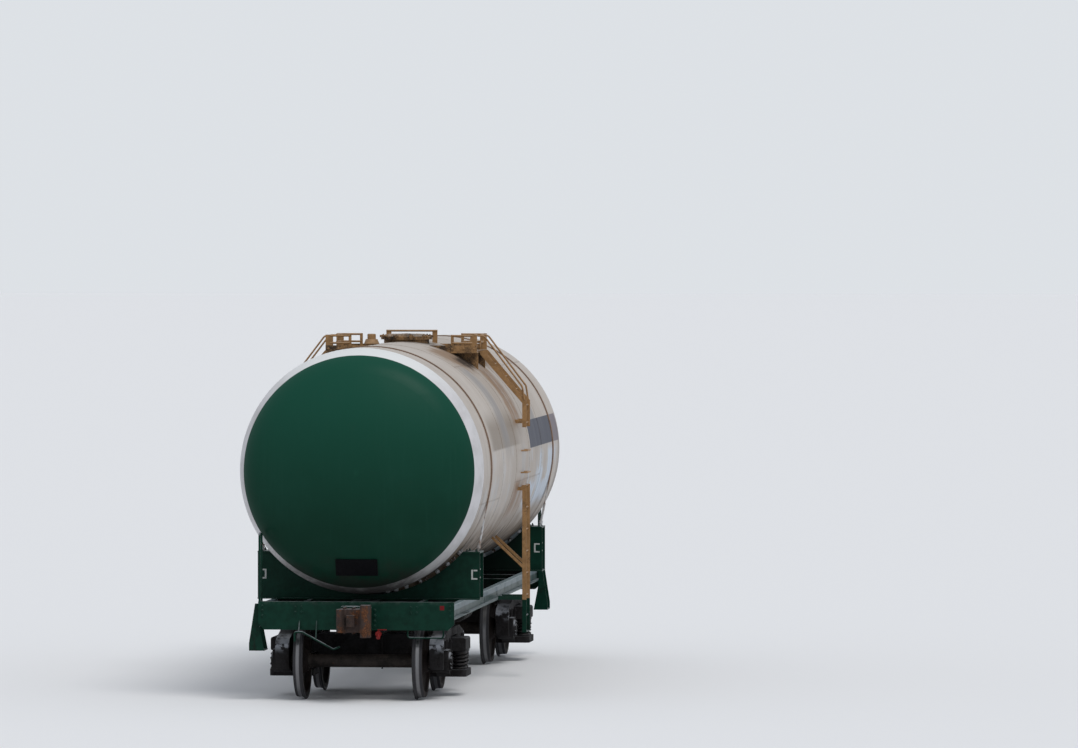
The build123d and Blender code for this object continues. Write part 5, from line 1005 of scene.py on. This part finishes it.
coupler_height = 1.088
rib_start_x, rib_end_x, rib_half, rib_half_height, rib_off = 5.66, 5.90, 0.011, 0.012, 0.160
lever_shaft_rows = ((0, 0), (0.022, 0), (0.022, 0.03), (0, 0.03))
for body, angle in (("coupler_front", 0), ("coupler_rear", pi)):
    # Sizes are given for the front coupler; the rear one is the same, turned about.
    turned = Matrix.Rotation(angle, 4, "Z")
    shape = bmesh.new()
    add_lathed(shape, turned @ turned_to((5.80, -0.20, 1.00), (0, 1, 0)), lever_shaft_rows, 16)
    for rib_y in (-0.10, 0.02, 0.14):
        for level in (coupler_height + rib_off, coupler_height - rib_off):
            low = (rib_start_x, rib_y - rib_half, level - rib_half_height)
            high = (rib_end_x, rib_y + rib_half, level + rib_half_height)
            add_block(shape, low, high, 0.006, turned)
    # A block where the shank meets the head
    low = (5.62, -0.075, coupler_height - 0.10)
    high = (5.70, 0.075, coupler_height + 0.10)
    add_block(shape, low, high, 0.02, turned)
    new_piece(f"{body}_ribs", shape, body, rusty_casting)

# FLOOR, LIGHT AND CAMERA
# A plain pale floor under an even sky with one wide, soft sun, and the long lens that the
# photograph was taken with.

floor_pale, tree = new_finish("floor_pale", 0.9)
tree.nodes["Principled BSDF"].inputs["Base Color"].default_value = (0.80, 0.81, 0.83, 1)
floor = bmesh.new()
bmesh.ops.create_grid(floor, x_segments=1, y_segments=1, size=400)
floor_mesh = bpy.data.meshes.new("floor")
floor.to_mesh(floor_mesh)
floor.free()
floor_piece = bpy.data.objects.new("floor", floor_mesh)
floor_mesh.materials.append(floor_pale)
bpy.context.collection.objects.link(floor_piece)

# The camera and mirrors see a plain backdrop; a dimmer sky of nearly its colour lights the car.
world = bpy.data.worlds.new("sky")
bpy.context.scene.world = world
world.use_nodes = True
sky = world.node_tree
light = sky.nodes["Background"]
light.inputs["Color"].default_value = (0.90, 0.94, 1.0, 1)
light.inputs["Strength"].default_value = 0.62
backdrop = add_node(sky, "ShaderNodeBackground", {"Color": (0.725, 0.755, 0.790), "Strength": 1.0})
rays = add_node(sky, "ShaderNodeLightPath").outputs
mirrored_rays = reckon("MAXIMUM", Value(rays["Is Glossy Ray"]), Value(rays["Is Transmission Ray"]))
seen = reckon("MAXIMUM", Value(rays["Is Camera Ray"]), mirrored_rays)
both = {0: seen, 1: Value(light.outputs[0]), 2: Value(backdrop.outputs[0])}
shown = add_node(sky, "ShaderNodeMixShader", both)
sky.links.new(shown.outputs[0], sky.nodes["World Output"].inputs["Surface"])

key = bpy.data.lights.new("key", "SUN")
key.energy = 1.35
key.angle = radians(30)
key.color = (1.0, 0.97, 0.93)
key_lamp = bpy.data.objects.new("key", key)
key_lamp.rotation_euler = Vector((-0.55, -0.45, -1.0)).to_track_quat("-Z", "Y").to_euler()
bpy.context.collection.objects.link(key_lamp)

lens = bpy.data.cameras.new("camera")
lens.sensor_width = 36.0
lens.lens = 260.31
lens.clip_end = 1000.0
camera = bpy.data.objects.new("camera", lens)
camera.location = (106.229, 13.106, 6.665)
yaw, pitch = radians(6.060), radians(-1.341)
looking = Vector((-cos(yaw) * cos(pitch), -sin(yaw) * cos(pitch), sin(pitch)))
camera.rotation_euler = looking.to_track_quat("-Z", "Y").to_euler()
bpy.context.collection.objects.link(camera)
bpy.context.scene.camera = camera
bpy.context.scene.view_settings.view_transform = "Standard"
